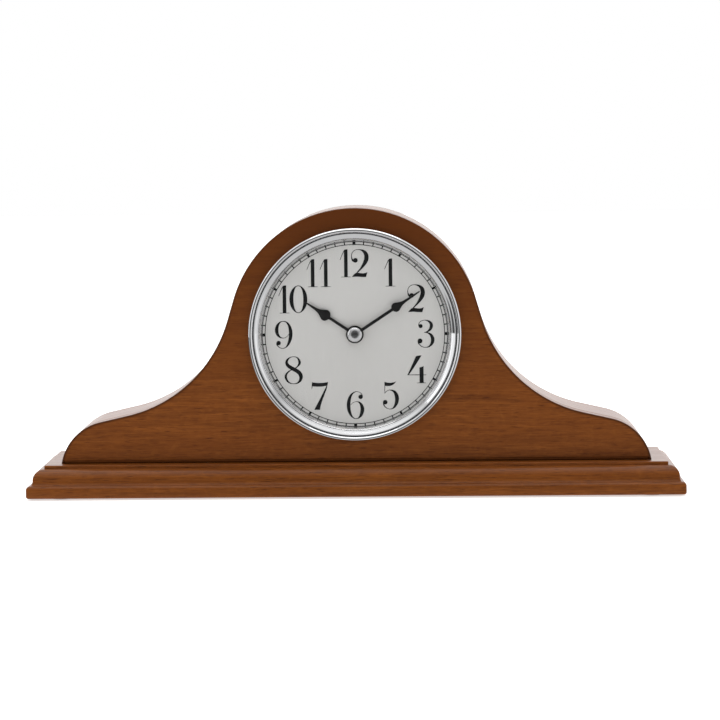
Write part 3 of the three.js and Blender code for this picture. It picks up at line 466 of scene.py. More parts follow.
# A sheet with outline loops[0] and holes loops[1:], all in X and Z. levels are (inset, y) pairs from one
# face to the other, so that the edges can be rounded.
def addSheet(name, loops, levels, body, slotName, **rest):
    turnedRight = []
    for i, loop in enumerate(loops):
        turnedRight.append(loop if (signedArea(loop) > 0) == (i == 0) else loop[::-1])
    points, faceSets, start = [], [], 0
    counts = [len(loop) for loop in turnedRight]
    total = sum(counts)
    for inset, y in levels:
        flat = np.concatenate([moved(loop, inset) for loop in turnedRight])
        points.append(np.stack([flat[:, 0], np.full(total, y), flat[:, 1]], 1))
    for count in counts:
        rings = start + np.arange(count)[None, :] + total * np.arange(len(levels))[:, None]
        faceSets.append(strips(rings))
        start += count
    for which, upright in ((0, False), (len(levels) - 1, True)):
        flat = points[which][:, [0, 2]]
        cuts = np.cumsum(counts)[:-1]
        polygons = [[Vector((x, z, 0)) for x, z in part.tolist()] for part in np.split(flat, cuts)]
        triangles = np.array(tessellate_polygon(polygons))
        a, b, c = (flat[triangles[:, i]] for i in range(3))
        turn = (b[:, 0] - a[:, 0]) * (c[:, 1] - a[:, 1]) - (c[:, 0] - a[:, 0]) * (b[:, 1] - a[:, 1])
        wrong = (turn > 0) != upright
        triangles[wrong] = triangles[wrong][:, ::-1]
        faceSets.append(triangles + which * total)
    return addPiece(name, np.concatenate(points), faceSets, body, slotName, **rest)


# A profile of (radius, y) points turned about the line along Y through (x, z). An open profile
# is closed by a flat face at each end.
def addTurned(name, profile, body, slotName, centre, sides, closed=True, **rest):
    radius, y = np.asarray(profile, float).T
    angle = np.linspace(0, 2 * np.pi, sides, endpoint=False)
    x = centre[0] + radius[:, None] * np.cos(angle)
    z = centre[1] + radius[:, None] * np.sin(angle)
    points = np.stack([x, np.repeat(y[:, None], sides, 1), z], -1).reshape(-1, 3)
    rings = np.arange(len(radius) * sides).reshape(-1, sides)
    if closed:
        return addPiece(name, points, [strips(np.concatenate([rings, rings[:1]]))], body, slotName, **rest)
    return addPiece(name, points, [strips(rings), rings[:1, ::-1], rings[-1:]], body, slotName, **rest)


# The centre and the radius times the cosine and sine of even steps round.
def circleLoop(radius, centre, count):
    angle = np.linspace(0, 2 * np.pi, count, endpoint=False)
    return np.stack([centre[0] + radius * np.cos(angle), centre[1] + radius * np.sin(angle)], 1)


# A rounded edge as (inset, y) pairs: a quarter circle from the side to the face at yFace.
def roundedEdge(radius, yFace, towards, steps=4):
    angle = np.linspace(0, np.pi / 2, steps + 1)
    inset = radius * (1 - np.cos(angle))
    depth = yFace + towards * radius * (1 - np.sin(angle))
    return list(zip(inset.tolist(), depth.tolist()))


# The arcs and lines of the outline, then the depths of the case, all in millimetres and degrees.
case = {
    "dialHeight": 105.5,
    "archRadius": 82.75,
    "archTurn": 73.24,
    "neckLength": 15.09,
    "hollowRadius": 89.89,
    "hollowTurn": 60.43,
    "shelfLength": 18.84,
    "shoulderRadius": 33.8,
    "foot": 21.9,
    "front": -28.3,
    "back": 45.5,
    "frontPanel": 9.0,
    "backPanel": 6.0,
    "skin": 5.0,
    "joint": 0.1,
    "frontRound": 0.7,
    "arrisWidth": 2.0,
    "jointRound": 0.18,
    "panelHole": 67.6,
    "panelEase": 2.0,  # from the back of the panel to the ring that ends the flat of its edge
    "darkenedRings": (1, 5),  # the first ring of the front edge that is made darker, and one past the last
    "skinEase": 8.0,  # from either end of the bent top to the nearest of its inner rings
}
doorway = {
    "half": 49.5, "height": 101.0, "play": 0.5, "hinges": (69.0, 133.0), "screwHole": 1.0, "screwAside": 6,
}


# Half of the outline, from the crown down the +X side: arcs and straight lines end to end, where an
# arc's points are its centre less the radius along the normal at each heading.
def halfOutline(inset):
    c = case
    x, z, heading = 0.0, c["dialHeight"] + c["archRadius"] - inset, 0.0
    points = [np.array([[x, z]])]

    def bend(radius, turn, side, steps):
        nonlocal x, z, heading
        headings = heading - side * np.linspace(0, turn, steps + 1)
        normals = side * np.stack([np.sin(headings), -np.cos(headings)], 1)
        centre = np.array([x, z]) + radius * normals[0]
        arc = centre - radius * normals
        points.append(arc[1:])
        (x, z), heading = arc[-1], headings[-1]

    def straight(length, steps):
        nonlocal x, z
        along = np.linspace(0, length, steps + 1)[1:, None]
        line = np.array([x, z]) + along * np.array([math.cos(heading), math.sin(heading)])
        points.append(line)
        x, z = line[-1]

    bend(c["archRadius"] - inset, math.radians(c["archTurn"]), 1, 64)
    straight(c["neckLength"], 4)
    bend(c["hollowRadius"] + inset, math.radians(c["hollowTurn"]), -1, 48)
    straight(c["shelfLength"], 4)
    radius = c["shoulderRadius"] - inset
    centreHeight = z - radius * math.cos(heading)
    turn = math.acos((c["foot"] - centreHeight) / radius) + heading
    bend(radius, turn, 1, 36)
    return np.concatenate(points)


# The half outline and its mirror image, whose x is the other way.
def wholeOutline(inset):
    right = halfOutline(inset)
    left = right[:0:-1] * np.array([-1, 1])
    return np.concatenate([left, right])


# The front, the bent top and the back are sheets with the same outline, one behind the other.
def addCase():
    c = case
    outer = wholeOutline(0)
    front, panelBack = c["front"], c["front"] + c["frontPanel"]
    hole = circleLoop(c["panelHole"], (0, c["dialHeight"]), 160)
    levels = [(c["arrisWidth"], front)] + roundedEdge(c["frontRound"], front, 1)[::-1]
    levels += [(0.0, panelBack - c["panelEase"])] + roundedEdge(c["jointRound"], panelBack, -1, 2)
    panel = addSheet("case_front", [outer, hole], levels, "case", "stained_wood", replaced=["front_panel"])
    markArris(panel, levels)

    # The bent top: the grain runs along the outline, so each point notes its length along it.
    inner = wholeOutline(c["skin"])
    loop = np.concatenate([outer, inner[::-1]])
    y0, y1 = panelBack + c["joint"], c["back"] - c["backPanel"] - c["joint"]
    levels = roundedEdge(c["jointRound"], y0, 1, 2)[::-1]
    levels += [(0.0, y) for y in np.linspace(y0 + c["skinEase"], y1 - c["skinEase"], 5).tolist()]
    levels += roundedEdge(c["jointRound"], y1, -1, 2)
    looks = {"finish": "bent_wood", "replaced": ["case_skin"]}
    skin = addSheet("case_bent_top", [loop], levels, "case", "stained_wood", **looks)
    length = np.concatenate([[0], np.cumsum(np.linalg.norm(np.diff(outer, axis=0), axis=1))])
    length = np.concatenate([length, length[::-1]])
    deep = np.concatenate([np.zeros(len(outer)), np.full(len(inner), c["skin"])])
    if signedArea(loop) < 0:
        length, deep = length[::-1], deep[::-1]
    count = len(skin.data.vertices) // len(length)
    depths = np.repeat([y for _, y in levels], len(length))
    grain = np.stack([np.tile(length, count), depths, np.tile(deep, count)], 1) * mm
    note = skin.data.attributes.new("grainPlace", "FLOAT_VECTOR", "POINT")
    note.data.foreach_set("vector", grain.astype(np.float32).ravel())

    # The back panel round the door opening, with the holes for the jamb screws.
    levels = roundedEdge(c["jointRound"], c["back"] - c["backPanel"], 1, 2)[::-1]
    levels += roundedEdge(c["frontRound"], c["back"], -1)
    half, middle, play = doorway["half"], doorway["height"], doorway["play"]
    opening = rectangleLoop(-half - play, half + play, middle - half - play, middle + half + play)
    x = -half - play - doorway["screwAside"]
    screws = [circleLoop(doorway["screwHole"], (x, z), 16) for z in doorway["hinges"]]
    addSheet("case_back", [outer, opening, *screws], levels, "case", "stained_wood", replaced=["back_panel"])


# Marks the rings of the front edge and the last ring, which the wood finish makes darker.
def markArris(piece, levels):
    ring = len(piece.data.vertices) // len(levels)
    mark = np.zeros(len(levels))
    mark[slice(*case["darkenedRings"])] = 1.0
    mark[-1] = 1.0
    note = piece.data.attributes.new("arris", "FLOAT", "POINT")
    note.data.foreach_set("value", np.repeat(mark, ring).astype(np.float32))


# A rectangle with rounded corners: one quarter circle, turned a right angle more for each corner.
def rectangleLoop(x0, x1, z0, z1, corner=0.6, steps=4):
    angle = np.linspace(0, np.pi / 2, steps + 1)
    quarter = corner * np.stack([np.cos(angle), np.sin(angle)], 1)
    turn = np.array([[0, 1], [-1, 0]])
    left, right, low, high = x0 + corner, x1 - corner, z0 + corner, z1 - corner
    middles = ((right, high), (left, high), (left, low), (right, low))
    parts = [quarter @ np.linalg.matrix_power(turn, i) + np.array(place) for i, place in enumerate(middles)]
    return np.concatenate(parts)


plinth = {
    "halfWidth": 215.0,
    "halfDepth": 50.0,
    "bottom": 1.0,
    "top": 21.8,
    "footRadius": 1.75,
    "slabHeight": 8.4,
    "slabRadius": 2.5,
    "coveInset": 4.0,
    "coveHeight": 3.2,
    "ovoloFoot": 0.4,
    "ovoloInset": 11.0,
    "ovoloHeight": 6.7,
    "fillet": 0.5,
}


# The moulded edge as (distance in from the edge, height) points: foot, slab, cove, ovolo and fillet.
def mouldingProfile():
    p = plinth

    def arc(cx, cz, rx, rz, start, stop, steps):
        angle = np.radians(np.linspace(start, stop, steps + 1))
        return np.stack([cx + rx * np.cos(angle), cz + rz * np.sin(angle)], 1)

    slabTop = p["bottom"] + p["slabHeight"]
    coveTop = slabTop + p["coveHeight"]
    foot = coveTop + p["ovoloFoot"]
    r, slab, fillet = p["footRadius"], p["slabRadius"], p["fillet"]
    return np.concatenate([
        arc(r, p["bottom"] + r, r, r, 270, 180, 6),
        arc(slab, slabTop - slab, slab, slab, 180, 90, 8),
        arc(slab, coveTop, p["coveInset"] - slab, p["coveHeight"], 285, 360, 8),
        arc(p["ovoloInset"], foot, p["ovoloInset"] - p["coveInset"], p["ovoloHeight"], 180, 90, 12),
        arc(p["ovoloInset"] + fillet, p["top"] - fillet, fillet, fillet, 180, 90, 4),
    ])


# Rings round the footprint, one for each profile point. The back edge stays plain.
def addPlinth():
    p = plinth
    rings = []
    for inset, z in mouldingProfile().tolist():
        w, d = p["halfWidth"] - inset, p["halfDepth"]
        loop = rectangleLoop(-w, w, -d + inset, d)
        rings.append(np.stack([loop[:, 0], loop[:, 1], np.full(len(loop), z)], 1))
    count = len(rings[0])
    numbers = np.arange(len(rings) * count).reshape(-1, count)
    faceSets = [strips(numbers), numbers[:1, ::-1], numbers[-1:]]
    addPiece("plinth", np.concatenate(rings), faceSets, "case", "stained_wood", replaced=["base_plinth"])


addCase()
addPlinth()
print("case and plinth made")

door = {"edgeRound": 0.5, "knobHole": 1.6, "gap": 0.1}
knob = {
    "x": 40.0,
    "radius": 6.5,
    "height": 4.3,
    # (radius, y) of the spigot in the door, in millimetres from the back face
    "spigot": [(0.4, -4.9), (1.5, -4.5), (1.5, -0.05)],
    # (share of the radius, y) of the neck, in millimetres
    "neck": [(0.6, 0.0), (0.6, 0.5), (0.45, 0.9), (0.42, 1.3)],
    # (share of the radius, share of the height) round the crown
    "crown": [(0.45, 0.95), (0.2, 0.99)],
    "rim": (0.62, 0.38, 0.26),  # middle and half width of the rounded rim, and its half height
    "tip": 0.05,
}


# The door is a rounded sheet with holes for its knob and screws. The knob is a turned profile: spigot,
# neck, a rim that follows an ellipse, and a nearly flat crown.
def addDoor():
    half, middle = doorway["half"], doorway["height"]
    y0, y1 = case["back"] - case["backPanel"], case["back"]
    levels = roundedEdge(door["edgeRound"], y0, 1)[::-1] + roundedEdge(door["edgeRound"], y1, -1)
    loops = [rectangleLoop(-half, half, middle - half, middle + half)]
    loops.append(circleLoop(door["knobHole"], (knob["x"], middle), 24))
    x = -half - doorway["play"] + doorway["screwAside"]
    loops += [circleLoop(doorway["screwHole"], (x, z), 16) for z in doorway["hinges"]]
    addSheet("door_panel", loops, levels, "door", "stained_wood", replaced=["back_door"])
    base = y1 + door["gap"]
    radius, height = knob["radius"], knob["height"]
    middleShare, wide, tall = knob["rim"]
    angle = np.linspace(-1.25, np.pi / 2, 18)
    out, up = middleShare + wide * np.cos(angle), middleShare + tall * np.sin(angle)
    profile = [(r, base + y) for r, y in knob["spigot"]]
    profile += [(radius * r, base + y) for r, y in knob["neck"]]
    profile += np.stack([radius * out, base + height * up], 1).tolist()
    profile += [(radius * r, base + height * y) for r, y in knob["crown"]] + [(knob["tip"], base + height)]
    addTurned("door_pull", profile, "door", "brass", (knob["x"], middle), 48, False, replaced=["door_knob"])


addDoor()
print("door made")

# The dial unit: levels are in millimetres behind the front face of the case.
unit = {
    "height": case["dialHeight"],
    "face": case["front"],
    "bezelRadius": 70.0,
    "beadRadius": 1.6,
    "beadHeight": 2.0,
    "beadLevel": -3.2,
    "skirtInner": 65.8,
    "skirtOuter": 67.2,
    "skirtBack": 8.0,
    "insert": 65.4,
    "glassCrown": -4.7,
    "glassCurve": 621.0,
    "glassThickness": 1.5,
    "dialFront": 3.0,
    "dialBack": 3.5,
    "dialHole": 4.2,
    "play": 0.1,
    "lensMiddle": 0.05,
    # (radius, level) of the bezel from its bead over the groove and slope to the lip
    "slope": [
        (66.88, -3.55), (66.80, -2.75), (66.52, -2.70), (66.42, -3.90), (66.25, -4.12), (65.95, -4.10),
        (65.2, -3.62), (64.4, -3.06), (63.75, -2.62), (63.45, -2.52), (63.25, -2.36), (63.2, -2.1),
        (63.2, -1.6),
    ],
    "lipBack": -1.6,
    "foot": [(69.8, -0.05), (70.0, -0.25)],
    # (radius, level) of the reflector's hollow face
    "hollow": [(62.2, 0.9), (61.6, 2.0)],
    "reflectorTop": 63.0,
    "reflectorFoot": [(61.2, -0.35), (61.1, -0.1)],  # levels from the dial
    "reflectorGap": 0.12,
}


# Turned profiles on the dial axis. The bead is half an ellipse, and the lens is two spheres near enough:
# its level rises from the crown by radius squared over twice the curve.
def addDialUnit():
    u = unit
    centre, face = (0, u["height"]), u["face"]
    angle = np.radians(np.linspace(0, 165, 22))
    middle = u["bezelRadius"] - u["beadRadius"]
    level = u["beadLevel"] - u["beadHeight"] * np.sin(angle)
    bead = np.stack([middle + u["beadRadius"] * np.cos(angle), level], 1)
    innerSkirt, outerSkirt, skirtBack = u["skirtInner"], u["skirtOuter"], u["skirtBack"]
    skirt = [(innerSkirt, u["lipBack"]), (innerSkirt, skirtBack), (outerSkirt, skirtBack)]
    skirt.append((outerSkirt, u["foot"][0][1]))
    inner = u["slope"] + skirt + u["foot"]
    profile = np.concatenate([bead, np.array(inner)]) + np.array([0, face])
    addTurned("bezel", profile, "case", "polished_metal", centre, 256, sharp=40, replaced=["bezel_ring"])

    radius = np.linspace(u["lensMiddle"], u["insert"] - u["play"], 24)
    sag = radius**2 / (2 * u["glassCurve"])
    front = np.stack([radius, face + u["glassCrown"] + sag], 1)
    back = np.stack([radius, face + u["glassCrown"] + u["glassThickness"] + sag], 1)
    lens = np.concatenate([front, back[::-1]])
    addTurned("lens", lens, "case", "clear_glass", centre, 160, False, replaced=["dial_glass"])

    edgeSag = u["insert"] ** 2 / (2 * u["glassCurve"])
    rim = u["glassCrown"] + u["glassThickness"] + edgeSag + u["reflectorGap"]
    foot = [(radius, u["dialFront"] + level) for radius, level in u["reflectorFoot"]]
    foot.append((u["insert"], foot[-1][1]))
    ring = np.array([(u["insert"], rim), (u["reflectorTop"], rim)] + u["hollow"] + foot)
    ring += np.array([0, face])
    addTurned("reflector", ring, "case", "polished_metal", centre, 192, replaced=["reflector_ring"])

    loops = [circleLoop(u["insert"], centre, 160), circleLoop(u["dialHole"], centre, 48)]
    levels = [(0.0, face + u["dialBack"]), (0.0, face + u["dialFront"])]
    addSheet("dial", loops, levels, "case", "silver_dial", replaced=["dial_plate"])


addDialUnit()
print("bezel, glass and dial made")

ink = {
    "thickness": 0.03,
    "sunk": 0.005,
    "narrowest": 0.012,
    "numeralRadius": 46.6,
    "numeralHeight": 18.3,
    "track": (58.8, 60.7),
    "trackLine": 0.48,
    "tickWidths": (2.0, 1.5, 0.75),  # at the quarters, at the hours and at the minutes
    "tickProud": 0.002,
}

# Each numeral in units of its height: strokes as lists of (x, y, width) points along their middles, dots
# as single (x, y, radius), then areas as lists of their (x, y) corners.
numerals = {
    "1": [
        [(-0.03, 0.985, 0.03), (-0.085, 0.9, 0.026), (-0.15, 0.76, 0.022), (-0.208, 0.62, 0.02)],
        [(-0.065, 0.0), (0.065, 0.0), (0.065, 1.0), (0.0, 1.0), (-0.045, 0.985), (-0.065, 0.94)],
        [(-0.175, 0.0), (0.175, 0.0), (0.175, 0.016), (0.09, 0.022), (-0.09, 0.022), (-0.175, 0.016)],
    ],
    "2": [
        [
            (0.12, 0.555, 0.06), (0.055, 0.61, 0.062), (0.024, 0.69, 0.036), (0.018, 0.78, 0.024),
            (0.05, 0.885, 0.022), (0.14, 0.965, 0.022), (0.28, 0.985, 0.026), (0.42, 0.945, 0.075),
            (0.52, 0.85, 0.135), (0.5525, 0.72, 0.157), (0.525, 0.58, 0.15), (0.455, 0.45, 0.115),
            (0.36, 0.32, 0.072), (0.25, 0.2, 0.045), (0.14, 0.09, 0.028), (0.05, 0.015, 0.02),
        ],
        (0.155, 0.604, 0.083),
        [
            (0.015, 0.0), (0.1, 0.012), (0.22, 0.018), (0.36, 0.004), (0.53, 0.0), (0.585, 0.182),
            (0.565, 0.176), (0.52, 0.15), (0.44, 0.136), (0.34, 0.142), (0.25, 0.158), (0.155, 0.15),
            (0.09, 0.09),
        ],
    ],
    "3": [
        [
            (0.09, 0.735, 0.05), (0.055, 0.79, 0.045), (0.055, 0.87, 0.028), (0.13, 0.955, 0.022),
            (0.27, 0.987, 0.024), (0.4, 0.95, 0.065), (0.48, 0.87, 0.105), (0.497, 0.78, 0.118),
            (0.465, 0.68, 0.1), (0.39, 0.6, 0.065), (0.31, 0.56, 0.035), (0.235, 0.545, 0.018),
        ],
        [
            (0.235, 0.545, 0.018), (0.34, 0.54, 0.035), (0.45, 0.485, 0.08), (0.52, 0.39, 0.115),
            (0.541, 0.286, 0.129), (0.515, 0.16, 0.105), (0.42, 0.05, 0.055), (0.29, 0.012, 0.024),
            (0.17, 0.035, 0.026), (0.08, 0.1, 0.034), (0.028, 0.18, 0.045), (0.04, 0.26, 0.06),
        ],
        (0.112, 0.776, 0.073),
        (0.087, 0.244, 0.088),
    ],
    "4": [
        [
            (0.318, 0.975), (0.4, 0.992), (0.52, 1.0), (0.38, 0.775), (0.22, 0.53), (0.05, 0.29),
            (0.005, 0.3), (0.1, 0.5), (0.22, 0.76),
        ],
        [(0.0, 0.29), (0.34, 0.286), (0.68, 0.29), (0.68, 0.308), (0.34, 0.314), (0.0, 0.31)],
        [(0.438, 0.0), (0.586, 0.0), (0.586, 0.62), (0.535, 0.588), (0.438, 0.566)],
        [(0.343, 0.0), (0.665, 0.0), (0.665, 0.016), (0.586, 0.024), (0.438, 0.024), (0.343, 0.016)],
    ],
    "5": [
        [
            (0.066, 0.578, 0.02), (0.12, 0.64, 0.02), (0.2, 0.688, 0.022), (0.28, 0.692, 0.034),
            (0.38, 0.655, 0.075), (0.46, 0.565, 0.118), (0.503, 0.41, 0.142), (0.488, 0.25, 0.125),
            (0.42, 0.1, 0.08), (0.33, 0.025, 0.036), (0.235, 0.012, 0.022), (0.14, 0.04, 0.026),
            (0.06, 0.11, 0.036), (0.022, 0.19, 0.046), (0.035, 0.27, 0.06),
        ],
        (0.08, 0.256, 0.083),
        [
            (0.058, 0.845), (0.17, 0.835), (0.28, 0.845), (0.38, 0.89), (0.44, 0.945), (0.478, 1.0),
            (0.4, 0.972), (0.3, 0.955), (0.2, 0.955), (0.11, 0.975), (0.058, 0.995),
        ],
        [(0.058, 0.574), (0.078, 0.574), (0.082, 0.86), (0.058, 0.86)],
    ],
    "6": [
        [
            (0.53, 0.755, 0.05), (0.558, 0.8, 0.042), (0.55, 0.87, 0.03), (0.48, 0.95, 0.022),
            (0.36, 0.988, 0.022), (0.24, 0.945, 0.045), (0.14, 0.83, 0.088), (0.083, 0.67, 0.12),
            (0.0655, 0.5, 0.131), (0.085, 0.31, 0.118), (0.15, 0.14, 0.078), (0.24, 0.04, 0.038),
            (0.334, 0.012, 0.024), (0.43, 0.045, 0.05), (0.515, 0.16, 0.11), (0.5585, 0.34, 0.137),
            (0.53, 0.49, 0.11), (0.46, 0.59, 0.06), (0.375, 0.624, 0.026), (0.28, 0.61, 0.018),
            (0.2, 0.57, 0.016), (0.14, 0.51, 0.016),
        ],
        (0.499, 0.797, 0.08),
    ],
    "7": [
        [
            (0.0, 0.755), (0.018, 0.752), (0.026, 0.8), (0.04, 0.845), (0.12, 0.838), (0.24, 0.832),
            (0.38, 0.836), (0.535, 0.862), (0.565, 0.862), (0.6, 1.0), (0.5, 0.982), (0.38, 0.968),
            (0.25, 0.968), (0.13, 0.978), (0.015, 0.995), (0.012, 0.92),
        ],
        [
            (0.094, 0.0), (0.296, 0.0), (0.31, 0.09), (0.335, 0.19), (0.385, 0.34), (0.44, 0.48),
            (0.5, 0.64), (0.545, 0.75), (0.575, 0.88), (0.545, 0.88), (0.49, 0.77), (0.425, 0.64),
            (0.35, 0.49), (0.27, 0.34), (0.185, 0.18), (0.135, 0.09),
        ],
    ],
    "8": [
        [
            (0.33, 0.988, 0.022), (0.22, 0.965, 0.032), (0.12, 0.89, 0.066), (0.077, 0.79, 0.094),
            (0.115, 0.685, 0.118), (0.21, 0.605, 0.13), (0.34, 0.53, 0.135), (0.47, 0.455, 0.14),
            (0.56, 0.36, 0.14), (0.59, 0.25, 0.13), (0.55, 0.12, 0.092), (0.45, 0.035, 0.045),
            (0.33, 0.012, 0.024), (0.19, 0.04, 0.04), (0.09, 0.13, 0.07), (0.0425, 0.26, 0.085),
            (0.075, 0.37, 0.068), (0.16, 0.46, 0.045), (0.25, 0.515, 0.03), (0.37, 0.565, 0.03),
            (0.47, 0.635, 0.05), (0.535, 0.73, 0.082), (0.54, 0.81, 0.09), (0.49, 0.92, 0.055),
            (0.41, 0.975, 0.028), (0.31, 0.988, 0.022),
        ],
    ],
    "9": [
        [
            (0.505, 0.53, 0.016), (0.45, 0.455, 0.018), (0.36, 0.395, 0.02), (0.265, 0.387, 0.026),
            (0.165, 0.43, 0.062), (0.09, 0.53, 0.108), (0.063, 0.675, 0.126), (0.095, 0.83, 0.1),
            (0.18, 0.945, 0.05), (0.3, 0.987, 0.024), (0.42, 0.95, 0.05), (0.51, 0.83, 0.092),
            (0.555, 0.68, 0.12), (0.565, 0.52, 0.13), (0.54, 0.34, 0.118), (0.47, 0.16, 0.078),
            (0.38, 0.05, 0.036), (0.27, 0.012, 0.022), (0.17, 0.04, 0.026), (0.09, 0.11, 0.034),
            (0.062, 0.17, 0.042), (0.08, 0.23, 0.05),
        ],
        (0.126, 0.207, 0.081),
    ],
    "0": [
        [
            (0.33, 0.9875, 0.024), (0.235, 0.955, 0.036), (0.15, 0.85, 0.085), (0.09, 0.69, 0.128),
            (0.0713, 0.5, 0.1425), (0.09, 0.31, 0.128), (0.15, 0.15, 0.085), (0.235, 0.045, 0.036),
            (0.33, 0.0125, 0.024),
        ],
        [
            (0.31, 0.9875, 0.024), (0.405, 0.955, 0.036), (0.49, 0.85, 0.085), (0.55, 0.69, 0.128),
            (0.5687, 0.5, 0.1425), (0.55, 0.31, 0.128), (0.49, 0.15, 0.085), (0.405, 0.045, 0.036),
            (0.31, 0.0125, 0.024),
        ],
    ],
}
# Where each figure of an hour stands, as the place of its own zero from the middle of the hour.
hourLayout = {
    1: [("1", 0.02)],
    2: [("2", -0.315)],
    3: [("3", -0.3025)],
    4: [("4", -0.34)],
    5: [("5", -0.287)],
    6: [("6", -0.3135)],
    7: [("7", -0.2985)],
    8: [("8", -0.3275)],
    9: [("9", -0.315)],
    10: [("1", -0.3015), ("0", -0.1235)],
    11: [("1", -0.215), ("1", 0.255)],
    12: [("1", -0.297), ("2", -0.11)],
}


# A smooth line through points, with a cubic between each two whose slopes come from their neighbours.
def smoothLine(points, steps=6):
    p = np.asarray(points, float)
    before = np.concatenate([2 * p[:1] - p[1:2], p[:-2]])
    after = np.concatenate([p[2:], 2 * p[-1:] - p[-2:-1]])
    t = np.linspace(0, 1, steps, endpoint=False)[:, None, None]
    a, b = p[:-1], p[1:]
    slopeA, slopeB = (b - before) / 2, (after - a) / 2
    curve = (
        (2 * t**3 - 3 * t**2 + 1) * a + (t**3 - 2 * t**2 + t) * slopeA
        + (3 * t**2 - 2 * t**3) * b + (t**3 - t**2) * slopeB
    )
    return np.concatenate([curve.transpose(1, 0, 2).reshape(-1, p.shape[1]), p[-1:]])


# A stroke as short four-cornered pieces: the points half its width to the left and right of the line.
def strokePieces(points):
    line = smoothLine(points)
    place, width = line[:, :2], np.maximum(line[:, 2:], ink["narrowest"])
    heading = np.gradient(place, axis=0)
    heading /= np.linalg.norm(heading, axis=1, keepdims=True)
    side = np.stack([-heading[:, 1], heading[:, 0]], 1) * width / 2
    left, right = place + side, place - side
    return list(np.stack([right[:-1], right[1:], left[1:], left[:-1]], 1))


# Overlapping outlines as one flat print: the triangles that any outline covers, given a thickness,
# with walls along the edges that only one triangle has.
def addPrint(name, outlines, body, slotName, front, back, **rest):
    outlines = [outline if signedArea(outline) > 0 else outline[::-1] for outline in outlines]
    starts = np.cumsum([0] + [len(outline) for outline in outlines])
    corners = [Vector(point) for point in np.concatenate(outlines).tolist()]
    faces = [list(range(a, b)) for a, b in zip(starts[:-1].tolist(), starts[1:].tolist())]
    flat, _, found, _, _, sources = delaunay_2d_cdt(corners, [], faces, 1, 1e-5)
    flat = np.array([point[:] for point in flat])
    triangles = np.array([face for face, source in zip(found, sources) if source])
    a, b, c = (flat[triangles[:, i]] for i in range(3))
    turn = (b[:, 0] - a[:, 0]) * (c[:, 1] - a[:, 1]) - (c[:, 0] - a[:, 0]) * (b[:, 1] - a[:, 1])
    triangles[turn < 0] = triangles[turn < 0][:, ::-1]
    count = len(flat)
    edges = np.concatenate([triangles[:, [0, 1]], triangles[:, [1, 2]], triangles[:, [2, 0]]])
    lone = ~np.isin(edges[:, 0] * count + edges[:, 1], edges[:, 1] * count + edges[:, 0])
    rim = edges[lone]
    walls = np.stack([rim[:, 0] + count, rim[:, 1] + count, rim[:, 1], rim[:, 0]], 1)
    numbers = np.concatenate([triangles.ravel(), walls.ravel() % count])
    used, renumbered = np.unique(numbers, return_inverse=True)
    flatUsed = flat[used]
    renumbered = renumbered.ravel()
    tri = renumbered[: triangles.size].reshape(-1, 3)
    wall = renumbered[triangles.size :].reshape(-1, 4) + np.array([len(used), len(used), 0, 0])
    points = np.concatenate([
        np.stack([flatUsed[:, 0], np.full(len(used), y), flatUsed[:, 1]], 1) for y in (front, back)
    ])
    return addPiece(name, points, [tri, tri[:, ::-1] + len(used), wall], body, slotName, **rest)


# The outlines of one figure, times its height, from the place of its own zero.
def numeralOutlines(figure, left, foot, height):
    outlines = []
    for shape in numerals[figure]:
        if isinstance(shape, tuple):
            outlines.append(circleLoop(shape[2], shape[:2], 32))
        elif len(shape[0]) == 3:
            outlines += strokePieces(shape)
        else:
            outlines.append(np.array(shape))
    return [outline * height + np.array([left, foot]) for outline in outlines]


# Each hour stands at 30 degrees times its number and each tick at 6 degrees times its minute, from the
# top. All the ticks are one print, a little proud of the two lines of the track.
def addPrinting():
    u, height = unit, ink["numeralHeight"]
    back = u["face"] + u["dialFront"] + ink["sunk"]
    front = back - ink["thickness"]
    for hour, figures in hourLayout.items():
        angle = math.radians(30 * hour)
        x = ink["numeralRadius"] * math.sin(angle)
        z = u["height"] + ink["numeralRadius"] * math.cos(angle) - height / 2
        outlines = []
        for figure, offset in figures:
            outlines += numeralOutlines(figure, x + offset * height, z, height)
        addPrint(f"numeral_{hour}", outlines, "case", "black_lacquer", front, back, finish="black_ink")
    low, high = ink["track"]
    half = ink["trackLine"] / 2
    for name, radius in (("track_inner_line", low), ("track_outer_line", high)):
        inside, outside = radius - half, radius + half
        profile = [(inside, back), (outside, back), (outside, front), (inside, front)]
        addTurned(name, profile, "case", "black_lacquer", (0, u["height"]), 240, finish="black_ink")
    outlines = []
    quarter, hourTick, minuteTick = ink["tickWidths"]
    for minute in range(60):
        width = quarter if minute % 15 == 0 else hourTick if minute % 5 == 0 else minuteTick
        angle = math.radians(6 * minute)
        along = np.array([math.sin(angle), math.cos(angle)])
        side = np.array([math.cos(angle), -math.sin(angle)]) * width / 2
        corners = [low * along - side, low * along + side, high * along + side, high * along - side]
        outlines.append(np.array(corners) + np.array([0, u["height"]]))
    front -= ink["tickProud"]
    addPrint("track_ticks", outlines, "case", "black_lacquer", front, back, finish="black_ink")


addPrinting()
print("dial printed")

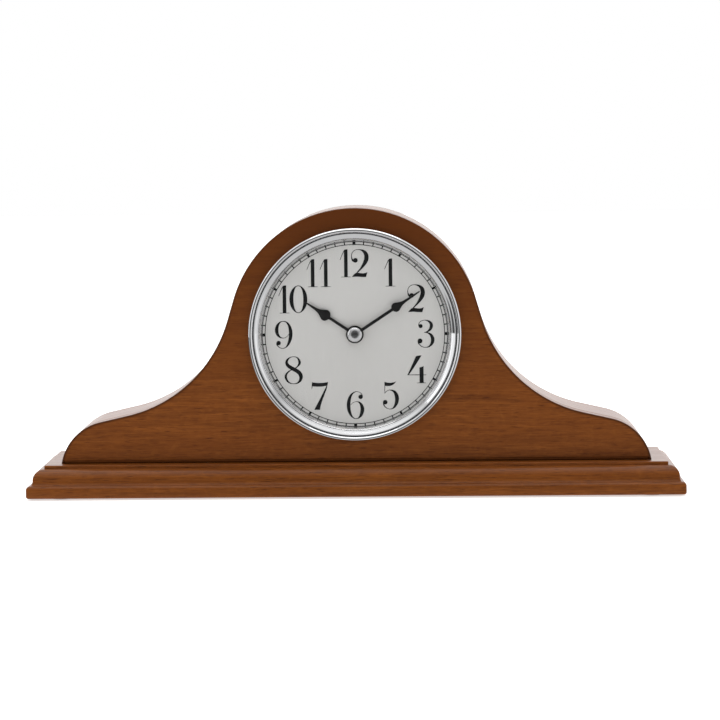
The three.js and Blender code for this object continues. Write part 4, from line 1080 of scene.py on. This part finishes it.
# Each edge is (distance from the axis, half width) along the blade.
hands = {
    "hour": {
        "y": 1.2, "thickness": 0.4, "hub": 5.8, "hole": 2.7, "angle": -56.4,
        "edge": [
            (5.0, 0.95), (18.6, 0.95), (19.7, 1.05), (20.3, 2.0), (21.3, 3.2), (22.7, 3.7), (24.2, 3.45),
            (26.0, 2.4), (28.0, 1.45), (30.5, 0.95), (34.0, 0.72), (37.3, 0.5), (37.5, 0.2),
        ],
    },
    "minute": {
        "y": -0.65, "thickness": 0.4, "hub": 5.0, "hole": 1.2, "angle": 56.7,
        "edge": [
            (4.2, 1.0), (28.6, 1.0), (29.5, 1.1), (30.0, 1.85), (30.9, 2.7), (32.1, 3.1), (33.5, 2.85),
            (35.2, 2.0), (37.0, 1.3), (39.5, 0.9), (44.0, 0.72), (50.8, 0.45), (51.0, 0.2),
        ],
    },
    "nut": {"radius": 4.8, "height": 2.0, "bore": 1.2, "wall": 0.45, "bevel": 0.1},
    "gap": 0.1,
    "edgeRound": 0.09,
}


# A pear-shaped hand: the hub's circle with the two edges of the blade added where they leave it.
def handOutline(hand, centre):
    edge = smoothLine(hand["edge"], 5)
    leave = math.asin(edge[0, 1] / hand["hub"])
    arc = np.linspace(leave, 2 * np.pi - leave, 72)
    hub = hand["hub"] * np.stack([np.sin(arc), np.cos(arc)], 1)
    right = np.stack([edge[:, 1], edge[:, 0]], 1)[1:]
    left = (right * np.array([-1, 1]))[::-1]
    loop = np.concatenate([hub, left[::-1], right[::-1]])
    angle = math.radians(hand["angle"])
    turn = np.array([[math.cos(angle), -math.sin(angle)], [math.sin(angle), math.cos(angle)]])
    return loop @ turn + np.array(centre)


# The blades are rounded sheets on the dial axis, and the cap over them is a turned quarter ellipse.
def addHands():
    u = unit
    centre = (0, u["height"])
    edge = hands["edgeRound"]
    for name, body in (("hour", "hour_train"), ("minute", "minute_train")):
        hand = hands[name]
        loops = [handOutline(hand, centre), circleLoop(hand["hole"], centre, 48)]
        y0 = u["face"] + hand["y"]
        levels = roundedEdge(edge, y0, 1, 2)[::-1] + roundedEdge(edge, y0 + hand["thickness"], -1, 2)
        addSheet(f"{name}_blade", loops, levels, body, "black_lacquer", replaced=[f"{name}_hand"])
    nut = hands["nut"]
    radius, wall, bevel = nut["radius"], nut["wall"], nut["bevel"]
    back = u["face"] + hands["minute"]["y"] - hands["gap"]
    angle = np.linspace(0, np.pi / 2 - 0.02, 14)
    domeLevel = back - wall - (nut["height"] - wall) * np.sin(angle)
    dome = np.stack([radius * np.cos(angle), domeLevel], 1)
    profile = [(nut["bore"], back), (radius - bevel, back), (radius, back - bevel)] + dome.tolist()
    addTurned("hand_cap", profile, "minute_train", "polished_metal", centre, 64, False, replaced=["hand_nut"])


addHands()
print("hands made")
